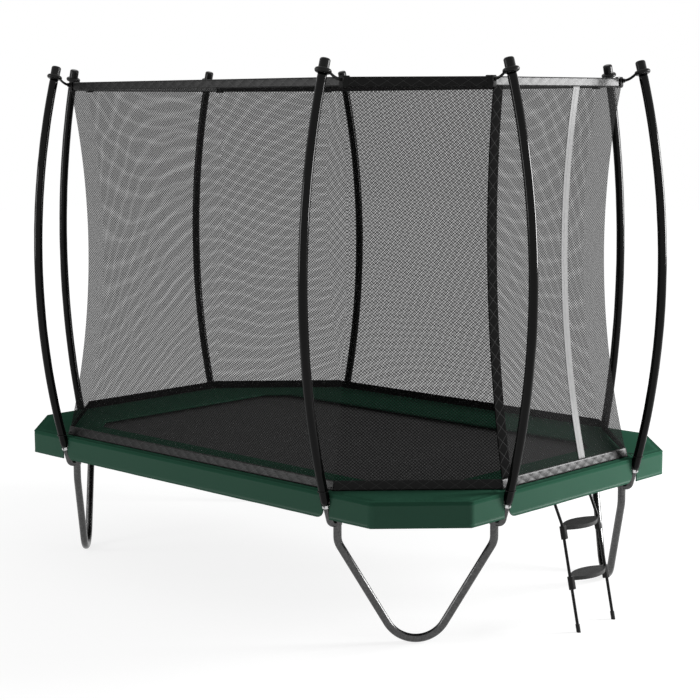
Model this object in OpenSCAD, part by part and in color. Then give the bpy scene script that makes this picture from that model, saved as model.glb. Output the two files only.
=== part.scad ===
// Rectangular garden trampoline with cut corners: V-shaped legs, a sprung mat
// under safety pads, a drawn-in net on eight bowed poles, and a hook-on ladder.
// X runs along the bed, Y across it and Z up from the ground under its middle.

/* [Bed] */
// Length of the bed over its skirts
bed_l = 3400; // [3200:20:3800]
// Width of the bed over its skirts
bed_w = 2330; // [2200:10:2600]
// Height of the pads' outer edge above the ground
pad_top = 780; // [720:5:880]
// Length that each cut corner takes off a side
corner_cut = 346; // [310:2:380]
// Distance from the end of the bed to the poles of the long sides
pole_from_end = 644; // [620:2:700]
// Distance from the side of the bed to the poles of the short sides
pole_from_side = 616; // [600:2:660]

/* [Frame] */
// Outer diameter of the frame tube
rail_d = 42; // [38:1:46]
// Wall of the frame and leg tubes
tube_wall = 2; // [1.5:0.1:3]
// Bend radius of the corner rails
rail_bend = 120; // [90:5:150]
// Distance from the skirt's face to the middle of the frame tube
frame_inset = 80; // [74:1:90]
// Length of the sleeve that joins two rails
socket_l = 110; // [90:5:130]
// Wall of the socket sleeves
socket_wall = 2.7; // [2.2:0.1:3.5]
// Length of the socket's stub below the middle of the frame tube
stub_l = 130; // [110:2:140]
// Clearance between a tube and the sleeve around it
fit_gap = 0.3; // [0.2:0.05:0.5]

/* [Legs] */
// Outer diameter of the leg tube
leg_d = 42; // [38:1:44]
// Slope of the legs' straight parts under their bends
leg_slope = 59.3; // [58:0.1:61]
// Bend radius at the top of the legs
leg_bend = 100; // [60:5:130]
// Bend radius at the foot of the legs
foot_bend = 165; // [130:5:190]
// Distance from the upper bend to the joint with the leg's foot
joint_from_bend = 308; // [240:4:340]
// Length of the swaged spigot that plugs into the leg
spigot_l = 55; // [40:5:80]

/* [Poles] */
// Distance from the pads' edge down to the end of the pole sleeve
sleeve_drop = 58; // [50:1:66]
// Height of the sleeved part of a pole
pole_rise = 2106; // [1800:10:2300]
// Lean of the bowed poles' ends from upright
pole_lean = 16; // [12:0.1:18]
// Outer diameter of the pole tube
pole_d = 37.6; // [36:0.2:38.6]
// Wall of the pole tube
pole_wall = 1.5; // [1.2:0.1:1.5]
// Bare length of pole tube below its sleeve
pole_bare = 18; // [12:1:24]
// Outer diameter of the padded pole sleeve
sleeve_d = 49; // [45:1:52]
// Wall of the bracket tube that carries a pole
bracket_wall = 2; // [1.5:0.1:3]
// Bend radius of the bracket tube
bracket_bend = 32; // [28:1:36]
// Distance from the pads' edge down to the foot of the bracket
bracket_drop = 165; // [160:1:175]
// Length of bracket inside the pole tube
bracket_plug = 90; // [60:5:120]
// Across-flats size of the pole's screw head
screw_af = 11; // [9:0.5:13]
// Height of the pole's screw head
screw_h = 4.5; // [3:0.5:6]

/* [Pole caps] */
// Diameter of the cap above its collar
cap_d = 53; // [50:1:58]
// Height of the cap above the middle of its collar
cap_h = 61; // [50:1:70]
// Radius of the cap's top edge
cap_round = 11; // [6:1:16]
// Diameter of the collar
collar_d = 84; // [74:1:90]
// Height of the collar
collar_h = 24; // [18:1:26]
// Length of pole tube inside the cap
cap_plug = 36; // [25:1:42]

/* [Pads] */
// Width of the pads from the skirt's face
pad_w = 380; // [340:5:400]
// Thickness of the pads over the frame
pad_t = 20; // [16:1:24]
// Rise of the pads' crown above their edges
pad_crown = 9; // [5:1:14]
// Fall of the pads from the frame to their inner edge
pad_fall = 8; // [4:1:9]
// Thickness of the pads' inner edge
pad_edge_t = 16; // [12:1:18]
// Height of the skirt with the pad's edge
skirt_h = 132; // [120:2:140]
// Thickness of the skirt
skirt_t = 5; // [3:1:7]
// Diameter of the piping along the pads' outer edge
piping_d = 8; // [6:1:10]
// Gap between two pads
pad_gap = 4; // [2:0.5:8]
// Clearance around a pole and its bracket where they pass the pads
pole_gap = 3; // [2:0.5:5]
// Radius of the skirts' lower corners beside the poles
skirt_round = 45; // [30:5:60]

/* [Net] */
// Distance from the skirt's face to the foot of the net
net_foot_in = 38; // [34:1:48]
// Gap between the pads' crown and the net's foot
net_lift = 0.2; // [0.1:0.1:4]
// Distance from the skirt's face to the net's top edge
net_top_in = 128; // [110:2:140]
// Distance from the poles' sleeve ends down to the net's top band
band_below_top = 28; // [24:2:40]
// How far the net is drawn in at half its height
net_draw = 100; // [60:5:150]
// Thickness of the net
net_t = 2; // [1.5:0.5:3]
// Height of the padded top band
band_h = 45; // [36:1:50]
// Thickness of the padded top band
band_t = 20; // [18:1:26]
// Wall of the padded top band
band_wall = 3; // [2:0.5:3.5]
// Diameter of the rod ring in the top band
rod_d = 13; // [10:0.5:13.5]
// Height of the quilted foot band
foot_band_h = 50; // [40:2:60]
// Thickness of the quilted foot band and of the entrance tapes
quilt_t = 4; // [3:0.5:6]
// Width of the entrance's quilted tape beside the corner
corner_tape_w = 76; // [40:2:90]
// Width of the entrance's closing tape
zip_tape_w = 54; // [34:2:60]
// Distance along the short side from its middle to the closing tape
zip_tape_y = 136; // [0:2:160]
// Height of the net's straps
strap_h = 14; // [10:1:18]
// Thickness of the net's straps
strap_t = 5; // [3:0.5:7]
// Sag of the net's straps
strap_sag = 9; // [5:1:13]
// Half the width of the clips that hold the top band's corners
clip_r = 24; // [20:1:28]
// Thickness of those clips
clip_t = 2.5; // [2:0.5:4]

/* [Mat] */
// Distance from the skirt's face to the edge of the mat
mat_in = 270; // [262:1:285]
// Thickness of the mat
mat_t = 6; // [4:0.5:8]
// Width of the webbing sewn under the mat's edge
hem_w = 50; // [40:2:60]
// Thickness of that webbing
hem_t = 3; // [2:0.5:4]
// Height of the mat's middle above the middle of the frame tube
mat_lift = 4; // [0:0.5:5]

/* [Springs] */
// Distance between springs
spring_pitch = 100; // [90:2:130]
// Outer diameter of a spring
spring_d = 22; // [18:1:22]
// Diameter of the spring's hooks
hook_wire = 4; // [3:0.5:4.5]
// Length of a spring's hook
hook_l = 14; // [10:1:18]
// Depth of a triangular ring, from the mat's edge to its point
ring_depth = 34; // [28:1:38]
// Width of a triangular ring
ring_w = 36; // [30:1:42]
// Thickness of the rings' wire
ring_wire = 4; // [3:0.5:5]
// Gap between parts that hook into one another
hook_gap = 0.3; // [0.2:0.05:0.5]

/* [Ladder] */
// Distance along the short side from its middle to the ladder's middle
ladder_y = 19; // [-100:1:100]
// Distance between the middles of the two stiles
ladder_w = 304; // [280:2:340]
// Distance from the skirt's face out to the ladder's feet
foot_out = 142; // [134:1:160]
// Lean of the ladder's lower part from upright
lean = 12; // [11:0.2:13]
// Lean of its upper part, under the pad
top_lean = 25; // [23:0.5:28]
// Height of the bend between them
knee_z = 547; // [540:1:560]
// Bend radius of the stiles
stile_bend = 60; // [50:5:70]
// Outer diameter of the stiles
stile_d = 16; // [15:0.5:17]
// Wall of the stiles
stile_wall = 1.5; // [1:0.1:2]
// Thickness of the strap that hooks a stile over the frame tube
strap_hook_t = 2.4; // [2:0.1:2.4]
// Width of that strap
strap_hook_w = 25; // [18:1:30]
// Clearance between that strap and the frame tube
strap_hook_gap = 0.15; // [0.1:0.05:0.2]
// Height of the lower tread's top
lower_tread = 281; // [250:1:300]
// Height of the upper tread's top
upper_tread = 535; // [500:1:550]
// Depth of the lens-shaped treads at their middle
tread_depth = 120; // [100:2:130]
// Thickness of the treads
tread_t = 20; // [16:1:26]
// Outer diameter of the tread clamps
clamp_d = 30; // [26:1:32]
// Height of the tread clamps
clamp_h = 67; // [50:1:80]
// Diameter of the rubber feet
foot_d = 22; // [21:0.5:28]
// Length of the rubber feet
foot_l = 42; // [30:1:60]

/* [Hidden] */
$fn = 64;

// Colours
GALVANISED = [0.62, 0.63, 0.64];
GLOSS_BLACK = [0.05, 0.05, 0.055];
PAD_GREEN = [0.10, 0.24, 0.17];
NET_BLACK = [0.20, 0.20, 0.21];
QUILT_GREY = [0.13, 0.13, 0.14];
MAT_BLACK = [0.09, 0.09, 0.10];
ZINC = [0.72, 0.73, 0.74];
TREAD_GREY = [0.22, 0.23, 0.24];
LIT_TAPE = [0.72, 0.73, 0.74];

// Half sizes of the bed, and where the poles stand along its sides
half_l = bed_l / 2;
half_w = bed_w / 2;
pole_x = half_l - pole_from_end;
pole_y = half_w - pole_from_side;

// Radii
rail_r = rail_d / 2;
leg_r = leg_d / 2;
pole_r = pole_d / 2;
sleeve_r = sleeve_d / 2;
stile_r = stile_d / 2;
socket_r = max(rail_r, leg_r) + fit_gap + socket_wall;
bracket_r = pole_r - pole_wall - fit_gap;

// Heights, worked down from the pads
pad_under = pad_top - pad_t;
rail_z = pad_under - fit_gap - socket_r;
mat_z = rail_z + mat_lift;
sleeve_foot_z = pad_top - sleeve_drop;
pole_end_z = sleeve_foot_z + pole_rise;
bracket_z = pad_top - bracket_drop;
skirt_foot_z = pad_top - skirt_h;

// The circle through two points whose arc bulges by sag to the right of p to q
function arc_radius(p, q, sag) = (pow(norm(q - p), 2) / 4 + sag * sag) / (2 * sag);
function right_of(p, q) = [q[1] - p[1], p[0] - q[0]] / norm(q - p);
function arc_centre(p, q, sag) =
    (p + q) / 2 - (arc_radius(p, q, sag) - sag) * right_of(p, q);

// ---- Shared forms ----

// Draws a first-quadrant piece in the quadrant with the given signs
module quadrant(sx, sy)
    mirror([sx < 0 ? 1 : 0, 0, 0])
        mirror([0, sy < 0 ? 1 : 0, 0])
            children();

// Draws a piece in all four quadrants
module all_quadrants()
    for (sx = [-1, 1], sy = [-1, 1])
        quadrant(sx, sy) children();

// Frames of one pole: X outwards from the skirt's face, Z up
module at_long_pole() translate([pole_x, half_w, 0]) rotate([0, 0, 90]) children();
module at_short_pole() translate([half_l, pole_y, 0]) children();
module at_all_poles()
    all_quadrants() {
        at_long_pole() children();
        at_short_pole() children();
    }

module ring(r, wall)
    difference() {
        circle(r);
        circle(r - wall);
    }

seam = 0.02;
function heading(p, q) = atan2(q[1] - p[1], q[0] - p[0]);
module lengthwise() rotate([90, 0, 90]) children();

// Length that a bend takes off the straights before and after it
function bend_trim(bend, turn) = bend * tan(abs(turn) / 2);

// The end of a bend that starts at the origin and heads along X
module turned(bend, turn)
    translate([0, sign(turn) * bend, 0]) rotate([0, 0, turn])
        translate([0, -sign(turn) * bend, 0]) children();

module tube_bend(bend, turn, r, wall)
    translate([0, sign(turn) * bend, 0]) rotate([0, 0, turn > 0 ? -90 : 90 + turn])
        rotate_extrude(angle = abs(turn)) translate([bend, 0]) ring(r, wall);

// A bent tube in the XY plane: steps lists each straight's length and the turn
// after it. The straights stop a hair short of the bends. Children stand at its end.
module bent_tube(steps, bend, r, wall, i = 0) {
    l = steps[i][0];
    turn = steps[i][1];
    last = i == len(steps) - 1;
    from = i == 0 ? 0 : seam;
    translate([from, 0, 0]) lengthwise() linear_extrude(l - from - (last ? 0 : seam)) ring(r, wall);
    translate([l, 0, 0])
        if (last) {
            children();
        } else {
            tube_bend(bend, turn, r, wall);
            turned(bend, turn) bent_tube(steps, bend, r, wall, i + 1) children();
        }
}

// A section (outwards along X, up along Y) run straight along a side of the bed.
// turn and reach give the side's direction and its distance from the middle.
module run(turn, reach)
    rotate([0, 0, turn]) translate([-reach - half_l, reach, 0])
        rotate([90, 0, 90]) linear_extrude(2 * (reach + half_l)) children();
module long_run() run(0, half_w) children();
module short_run() run(-90, half_l) children();

// Keeps what lies over a plan outline
module over(outline)
    intersection() {
        children();
        linear_extrude(pole_end_z + cap_h) polygon(outline);
    }

// ---- The bed's outline: a rectangle with 45 degree corners ----

edge_slope = tan(22.5);
margin = 30;
deep = pad_w + margin;
function bed_long(d) = [half_l - corner_cut - d * edge_slope, half_w - d];
function bed_short(d) = [half_l - d, half_w - corner_cut - d * edge_slope];
function bed_outline(d) =
    let (p = bed_long(d), q = bed_short(d))
    [p, q, [q[0], -q[1]], [p[0], -p[1]], -p, -q, [-q[0], q[1]], [-p[0], p[1]]];
// Moves a corner piece's end off its neighbour's
hair = [seam, -seam];
corner_reach = (half_l + half_w - corner_cut) / sqrt(2);
module corner_run() run(-45, corner_reach) children();

// ---- Frame: four side rails, four corner rails and eight sockets ----

rail_join = fit_gap / 2;

module straight_rail(l)
    color(GALVANISED)
        translate([-l / 2, 0, rail_z]) rotate([90, 0, 90]) linear_extrude(l) ring(rail_r, tube_wall);

module long_rail(side)
    translate([0, side * (half_w - frame_inset), 0]) straight_rail(2 * (pole_x - rail_join));

module short_rail(side)
    translate([side * (half_l - frame_inset), 0, 0])
        rotate([0, 0, 90]) straight_rail(2 * (pole_y - rail_join));

module corner_rail(sx, sy) {
    trim = bend_trim(rail_bend, 45);
    long = bed_long(frame_inset)[0] - pole_x - rail_join - trim;
    middle = norm(bed_long(frame_inset) - bed_short(frame_inset)) - 2 * trim;
    short = bed_short(frame_inset)[1] - pole_y - rail_join - trim;
    color(GALVANISED) quadrant(sx, sy)
        translate([pole_x + rail_join, half_w - frame_inset, rail_z])
            bent_tube([[long, -45], [middle, -45], [short, 0]], rail_bend, rail_r, tube_wall);
}

// Tee sleeve over the ends of two rails, with a stub down over the leg
module socket()
    translate([-frame_inset, 0, rail_z])
        difference() {
            union() {
                rotate([90, 0, 0]) cylinder(h = socket_l, r = socket_r, center = true);
                translate([0, 0, -stub_l]) cylinder(h = stub_l, r = socket_r);
            }
            rotate([90, 0, 0]) cylinder(h = socket_l + 2, r = rail_r + fit_gap, center = true);
            translate([0, 0, -stub_l - 1]) cylinder(h = stub_l + 1, r = leg_r + fit_gap);
        }

module frame_sockets() color(ZINC) at_all_poles() socket();

// ---- Legs: each crosses a corner in the upright plane of its two sockets ----

leg_from = [pole_x, half_w - frame_inset];
leg_to = [half_l - frame_inset, pole_y];
half_span = norm(leg_to - leg_from) / 2;
// The bend's height puts the foot's arc on the ground
leg_bend_z = leg_r + half_span * tan(leg_slope) - foot_bend * (1 / cos(leg_slope) - 1);
leg_top_z = rail_z - rail_r - 1;
joint_gap = 0.4;
spigot_r = leg_r - tube_wall - fit_gap;

module leg_plane()
    translate(leg_from) rotate([0, 0, heading(leg_from, leg_to)]) rotate([90, 0, 0]) children();

// Draws a half of the leg, then its mirror image about the leg's middle
module both_halves() {
    children();
    translate([2 * half_span, 0, 0]) mirror([1, 0, 0]) children();
}

module leg_uppers(sx, sy)
    color(GALVANISED) quadrant(sx, sy) leg_plane() both_halves()
        translate([0, leg_top_z, 0]) rotate([0, 0, -90]) {
            turn = 90 - leg_slope;
            trim = bend_trim(leg_bend, turn);
            bent_tube([[leg_top_z - leg_bend_z - trim, turn], [joint_from_bend - trim, 0]],
                      leg_bend, leg_r, tube_wall);
        }

// A straight leg tube from X = 0, swaged below that to plug into the tube above
module swaged_tube(l) {
    bore = leg_r - tube_wall;
    spigot_bore = spigot_r - tube_wall;
    lengthwise() rotate_extrude()
        polygon([[leg_r, 0], [leg_r, l], [bore, l], [bore, 3 * tube_wall], [spigot_bore, tube_wall],
                 [spigot_bore, -spigot_l], [spigot_r, -spigot_l], [spigot_r, 0]]);
}

module leg_foot(sx, sy) {
    l = half_span / cos(leg_slope) - bend_trim(foot_bend, 2 * leg_slope) - joint_from_bend - joint_gap;
    color(GALVANISED) quadrant(sx, sy) leg_plane()
        translate([0, leg_bend_z, 0]) rotate([0, 0, -leg_slope])
            translate([joint_from_bend + joint_gap, 0, 0]) {
                swaged_tube(l - seam);
                translate([l, 0, 0]) {
                    tube_bend(foot_bend, 2 * leg_slope, leg_r, tube_wall);
                    turned(foot_bend, 2 * leg_slope)
                        translate([l, 0, 0]) mirror([1, 0, 0]) swaged_tube(l - seam);
                }
            }
}

// ---- Poles: each bows outwards along an arc, over the end of its bracket ----

pole_arc_r = pole_rise / 2 / sin(pole_lean);
pole_bow = pole_arc_r * (1 - cos(pole_lean));
// Angle of a length along the pole, to a hundredth of a degree so that bends meet exactly
function arc_angle(l) = round(l / pole_arc_r * 18000 / PI) / 100;
bare_turn = pole_lean + arc_angle(pole_bare);

// The point at an angle along the pole's arc, in a pole's frame
function on_pole(t) =
    [pole_bow - pole_arc_r + pole_arc_r * cos(t), sleeve_foot_z + pole_rise / 2 + pole_arc_r * sin(t)];

// Frame on the pole's arc at an angle, with Z along the pole
module along_pole(t)
    translate([on_pole(t)[0], 0, on_pole(t)[1]]) rotate([0, -t, 0]) children();

// A 2D section swept along the pole's arc
module pole_arc(from, to)
    translate([pole_bow - pole_arc_r, 0, sleeve_foot_z + pole_rise / 2])
        rotate([90, 0, 0]) rotate([0, 0, from])
            rotate_extrude(angle = to - from, $fn = 720) translate([pole_arc_r, 0]) children();

// Bent tube from its socket's stub up into the pole
module bracket() {
    top = on_pole(-bare_turn);
    turn = 90 - bare_turn;
    trim = bend_trim(bracket_bend, turn);
    rise = (top[1] - bracket_z) / cos(bare_turn);
    out = frame_inset + top[0] - rise * sin(bare_turn);
    difference() {
        translate([-frame_inset, 0, bracket_z]) rotate([90, 0, 0])
            bent_tube([[out - trim, turn], [rise - trim - seam, 0]], bracket_bend, bracket_r, bracket_wall)
                translate([seam, pole_arc_r, 0]) rotate([0, 0, -90])
                    rotate_extrude(angle = arc_angle(bracket_plug), $fn = 720)
                        translate([pole_arc_r, 0]) ring(bracket_r, bracket_wall, $fn = 64);
        translate([-frame_inset, 0, bracket_z - 2 * bracket_r])
            cylinder(h = 4 * bracket_r, r = socket_r + seam);
    }
}

module pole_brackets() color(GALVANISED) at_all_poles() bracket();

module pole_tubes()
    color(ZINC) at_all_poles()
        pole_arc(-bare_turn, pole_lean + arc_angle(cap_plug)) ring(pole_r, pole_wall, $fn = 64);

module pole_sleeve()
    color(GLOSS_BLACK)
        pole_arc(-pole_lean, pole_lean - arc_angle(collar_h / 2 + 3 * fit_gap))
            ring(sleeve_r, sleeve_r - pole_r - fit_gap, $fn = 64);
module long_pole(sx, sy) quadrant(sx, sy) at_long_pole() pole_sleeve();
module short_pole(sx, sy) quadrant(sx, sy) at_short_pole() pole_sleeve();

module pole_screws()
    color(ZINC) at_all_poles()
        along_pole(-pole_lean - arc_angle(pole_bare / 2))
            translate([pole_r + hook_gap, 0, 0]) rotate([0, 90, 0]) {
                cylinder(h = screw_h, d = screw_af / cos(30), $fn = 6);
                cylinder(h = 1, d = screw_af * 1.4);
            }

// Cap with a round collar; Z runs along the pole from the collar's middle
module pole_cap() {
    cap_r = cap_d / 2;
    bead = collar_h / 2;
    difference() {
        rotate_extrude() {
            translate([0, -bead]) square([cap_r, bead + cap_h - cap_round]);
            square([cap_r - cap_round, cap_h]);
            translate([0, -bead]) square([collar_d / 2 - bead, collar_h]);
            translate([collar_d / 2 - bead, 0]) circle(bead);
            intersection() {
                translate([cap_r - cap_round, cap_h - cap_round]) circle(cap_round);
                square([cap_r, cap_h]);
            }
        }
        translate([0, 0, -bead - 1]) cylinder(h = bead + 1 + cap_plug + fit_gap, r = pole_r + 2 * fit_gap);
    }
}

module pole_caps() color(GLOSS_BLACK) at_all_poles() along_pole(pole_lean) pole_cap();

// ---- Pads: four along the sides and four round the corners, each with its skirt ----

edge_r = pad_edge_t / 2;
edge_middle = [edge_r - pad_w, pad_under - pad_fall + edge_r];
piping_r = piping_d / 2;
piping_middle = [1 - piping_r, pad_top - piping_r];
crown_from = piping_middle + piping_r * [cos(120), sin(120)];
crown_to = edge_middle + [0, edge_r];
crown_centre = arc_centre(crown_from, crown_to, pad_crown);
slot_half = bracket_r + pole_gap;

// Points along an arc between two angles
function arc_points(centre, r, from, to, n) =
    [for (i = [0 : n]) centre + r * [cos(from + (to - from) * i / n), sin(from + (to - from) * i / n)]];

module pad_section()
    polygon(concat(
        [[-skirt_t, skirt_foot_z], [0, skirt_foot_z]],
        arc_points(piping_middle, piping_r, -acos((piping_r - 1) / piping_r), 120, 8),
        arc_points(crown_centre, arc_radius(crown_from, crown_to, pad_crown),
                   heading(crown_centre, crown_from), heading(crown_centre, crown_to), 12),
        arc_points(edge_middle, edge_r, 110, 250, 6),
        [[edge_middle[0], edge_middle[1] - edge_r], [-frame_inset - socket_r, pad_under],
         [-skirt_t, pad_under]]));

// Room in the pads for a pole and its bracket
module pole_passage() {
    along_pole(-pole_lean) translate([0, 0, -pole_gap])
        cylinder(h = sleeve_drop + 2 * pad_t, r = sleeve_r + pole_gap);
    translate([-skirt_t - 1, -slot_half, skirt_foot_z - 1])
        cube([skirt_t + piping_d, 2 * slot_half, sleeve_foot_z - skirt_foot_z + 1]);
}

// Rounds off a skirt's lower corner; side is the skirt's direction along the pole's Y
module skirt_corner(side)
    mirror([0, side < 0 ? 1 : 0, 0])
        translate([-skirt_t - 1, slot_half, skirt_foot_z]) rotate([90, 0, 90])
            linear_extrude(skirt_t + piping_d)
                difference() {
                    square(skirt_round);
                    translate([skirt_round, skirt_round]) circle(skirt_round);
                }

module side_pad_ends(side) {
    pole_passage();
    skirt_corner(side);
}

module long_pad(side) {
    end = pole_x - pad_gap / 2;
    color(PAD_GREEN) difference() {
        quadrant(1, side)
            over([[-end, half_w + margin], [end, half_w + margin],
                  [end, half_w - deep], [-end, half_w - deep]])
                long_run() pad_section();
        for (sx = [-1, 1])
            quadrant(sx, side) at_long_pole() side_pad_ends(1);
    }
}

module short_pad(side) {
    end = pole_y - pad_gap / 2;
    color(PAD_GREEN) difference() {
        quadrant(side, 1)
            over([[half_l + margin, -end], [half_l + margin, end],
                  [half_l - deep, end], [half_l - deep, -end]])
                short_run() pad_section();
        for (sy = [-1, 1])
            quadrant(side, sy) at_short_pole() side_pad_ends(-1);
    }
}

module corner_pad(sx, sy) {
    start_x = pole_x + pad_gap / 2;
    start_y = pole_y + pad_gap / 2;
    color(PAD_GREEN) quadrant(sx, sy) difference() {
        union() {
            over([[start_x, half_w + margin], bed_long(-margin), bed_long(deep), [start_x, half_w - deep]])
                long_run() pad_section();
            over([bed_long(-margin) + hair, bed_short(-margin) - hair,
                  bed_short(deep) - hair, bed_long(deep) + hair])
                corner_run() pad_section();
            over([bed_short(-margin), [half_l + margin, start_y], [half_l - deep, start_y], bed_short(deep)])
                short_run() pad_section();
        }
        at_long_pole() pole_passage();
        at_short_pole() pole_passage();
    }
}

// ---- Net: eight panels whose corners stand straight in from the poles ----

// The corner panels run at 45 degrees, so their insets are shorter by this share
diag = cos(45);
$inset_share = 1;
net_x = (pole_x + pole_y + half_l - half_w) / 2;
net_y = net_x - half_l + half_w;
// Mitred corners of the ring in the net's top, in plan
function net_long(d) = [net_x + edge_slope * (net_top_in - d), half_w - d];
function net_short(d) = [half_l - d, net_y + edge_slope * (net_top_in - d)];
net_deep = net_top_in + net_draw + band_t;
module net_corner_run() {
    $inset_share = diag;
    run(-45, diag * (net_x + half_w)) children();
}

module over_long_side()
    over([[-net_long(-margin)[0], half_w + margin], net_long(-margin),
          net_long(net_deep), [-net_long(net_deep)[0], half_w - net_deep]]) children();
module over_short_side()
    over([net_short(-margin), [half_l + margin, -net_short(-margin)[1]],
          [half_l - net_deep, -net_short(net_deep)[1]], net_short(net_deep)]) children();
module over_corner()
    over([net_long(-margin) + hair, net_short(-margin) - hair,
          net_short(net_deep) - hair, net_long(net_deep) + hair]) children();

band_top_z = pole_end_z - band_below_top;
band_foot_z = band_top_z - band_h;
net_foot_z = crown_centre[1] + arc_radius(crown_from, crown_to, pad_crown) + net_lift;
net_head_z = band_foot_z - hook_gap;
// The net hangs from under the band's outer face
net_head_in = net_top_in - band_t / 2 + net_t;
function net_foot() = [-net_foot_in * $inset_share, net_foot_z];
function net_head() = [-net_head_in * $inset_share, net_head_z];
function net_centre() = arc_centre(net_head(), net_foot(), net_draw);
function net_r() = arc_radius(net_head(), net_foot(), net_draw);

// A layer of the net between two distances outwards of it and two heights
module net_layer(inner, outer, from_z, to_z)
    intersection() {
        translate(net_centre()) difference() {
            circle(net_r() - inner, $fn = 720);
            circle(net_r() - outer, $fn = 720);
        }
        translate([-net_deep, from_z]) square([net_deep + margin, to_z - from_z]);
    }
module net_sheet() net_layer(-net_t, 0, net_foot_z, net_head_z);

// Two panels meet in a plane that leans in with the net and holds the mitre's line.
// Draws the block on one side of it: past -1 short of the corner and 1 beyond it.
// at is the corner's distance along its side and out that of the side's face.
net_lean = atan((net_head_in - net_foot_in) / (net_head_z - net_foot_z));
module net_block(at, out, past)
    translate([at, out - net_foot_in, net_foot_z])
        rotate([0, 0, -22.5]) rotate([0, atan(tan(net_lean) * sin(22.5)), 0])
            translate([past > 0 ? seam : -2 * half_l, -half_l, -half_w])
                cube([2 * half_l, 2 * half_l, half_w + pole_end_z]);
module long_block(past) net_block(net_x, half_w, past);
module short_block(past) mirror([1, -1, 0]) net_block(net_y, half_l, past);

module net_long_side(side)
    quadrant(1, side) intersection() {
        long_run() children();
        long_block(-1);
        mirror([1, 0, 0]) long_block(-1);
    }
module net_short_side(side)
    quadrant(side, 1) intersection() {
        short_run() children();
        short_block(-1);
        mirror([0, 1, 0]) short_block(-1);
    }
module net_corner_side(sx, sy)
    quadrant(sx, sy) intersection() {
        net_corner_run() children();
        long_block(1);
        short_block(1);
    }

module net_long_panel(side) color(NET_BLACK) net_long_side(side) net_sheet();
module net_short_panel(side) color(NET_BLACK) net_short_side(side) net_sheet();
module net_corner_panel(sx, sy) color(NET_BLACK) net_corner_side(sx, sy) net_sheet();

// A closed loop in the net's top: a section carried along all eight sides
module net_loop() {
    for (side = [-1, 1]) {
        quadrant(1, side) over_long_side() long_run() children();
        quadrant(side, 1) over_short_side() short_run() children();
    }
    all_quadrants() over_corner() net_corner_run() children();
}

module band_outline(grow)
    translate([-net_top_in * $inset_share - band_t / 2 - grow, band_foot_z - grow])
        square([band_t + 2 * grow, band_h + 2 * grow]);

module net_top_band()
    color(QUILT_GREY) net_loop()
        difference() {
            band_outline(0);
            band_outline(-band_wall);
        }

module net_top_rod()
    color(GLOSS_BLACK) net_loop()
        translate([-net_top_in * $inset_share, band_foot_z + band_wall + hook_gap + rod_d / 2])
            circle(d = rod_d);

module net_foot_layer() net_layer(hook_gap, quilt_t, net_foot_z, net_foot_z + foot_band_h);
module net_foot_band()
    color(QUILT_GREY) {
        for (side = [-1, 1]) {
            net_long_side(side) net_foot_layer();
            net_short_side(side) net_foot_layer();
        }
        for (sx = [-1, 1], sy = [-1, 1]) net_corner_side(sx, sy) net_foot_layer();
    }

// The tapes up the entrance panel: a quilted one along its corner and the closing one
module net_tape_layer() net_layer(hook_gap, quilt_t, net_foot_z + foot_band_h + hook_gap, net_head_z);
module net_tapes() {
    color(QUILT_GREY) quadrant(1, -1)
        difference() {
            intersection() {
                short_run() net_tape_layer();
                short_block(-1);
            }
            translate([0, -corner_tape_w, 0]) short_block(-1);
        }
    color(LIT_TAPE)
        intersection() {
            short_run() net_tape_layer();
            translate([0, zip_tape_y - zip_tape_w / 2, 0]) cube([2 * half_l, zip_tape_w, pole_end_z]);
        }
}

// A strap from a pole's collar to the clip on the top band's corner.
// corner is the band's outer corner, and pole the foot of the pole in plan.
module net_strap(pole, corner) {
    from = [collar_d / 2 - strap_h / 2, pole_end_z - collar_d / 4 * sin(pole_lean)];
    to = [norm(corner - pole) - clip_t - hook_gap, band_top_z - strap_h];
    centre = arc_centre(from, to, strap_sag);
    r = arc_radius(from, to, strap_sag);
    translate(pole) rotate([0, 0, heading(pole, corner)]) translate([0, strap_t / 2, 0])
        rotate([90, 0, 0]) linear_extrude(strap_t)
            intersection() {
                translate(centre) difference() {
                    circle(r + strap_h / 2, $fn = 180);
                    circle(r - strap_h / 2, $fn = 180);
                }
                translate([from[0], to[1] - 4 * strap_sag])
                    square([to[0] - from[0], from[1] - to[1] + 8 * strap_sag]);
            }
}

// The collar's round edge with its clearance to the strap
module collar_edge()
    along_pole(pole_lean) rotate_extrude()
        translate([collar_d / 2 - collar_h / 2, 0]) circle(collar_h / 2 + hook_gap / 2);

module net_clip(corner)
    intersection() {
        translate([corner[0], corner[1], band_foot_z - margin])
            cylinder(h = band_h + 2 * margin, r = clip_r);
        union() {
            over_long_side() long_run() clip_section();
            over_corner() net_corner_run() clip_section();
            over_short_side() short_run() clip_section();
        }
    }
module clip_section()
    difference() {
        band_outline(clip_t + hook_gap);
        band_outline(hook_gap);
        translate([-net_deep, 0]) square([net_deep + margin, band_foot_z]);
    }

module net_straps() {
    band_out = net_top_in - band_t / 2;
    color(GLOSS_BLACK) all_quadrants() {
        difference() {
            net_strap([pole_x, half_w], net_long(band_out));
            at_long_pole() collar_edge();
        }
        net_clip(net_long(band_out));
        difference() {
            net_strap([half_l, pole_y], net_short(band_out));
            at_short_pole() collar_edge();
        }
        net_clip(net_short(band_out));
    }
}

// ---- Mat and its springs ----

module mat()
    color(MAT_BLACK) translate([0, 0, mat_z - mat_t / 2]) linear_extrude(mat_t) polygon(bed_outline(mat_in));

module mat_hem()
    color(QUILT_GREY) translate([0, 0, mat_z - mat_t / 2 - hem_t]) linear_extrude(hem_t)
        difference() {
            polygon(bed_outline(mat_in));
            polygon(bed_outline(mat_in + hem_w));
        }

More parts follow.
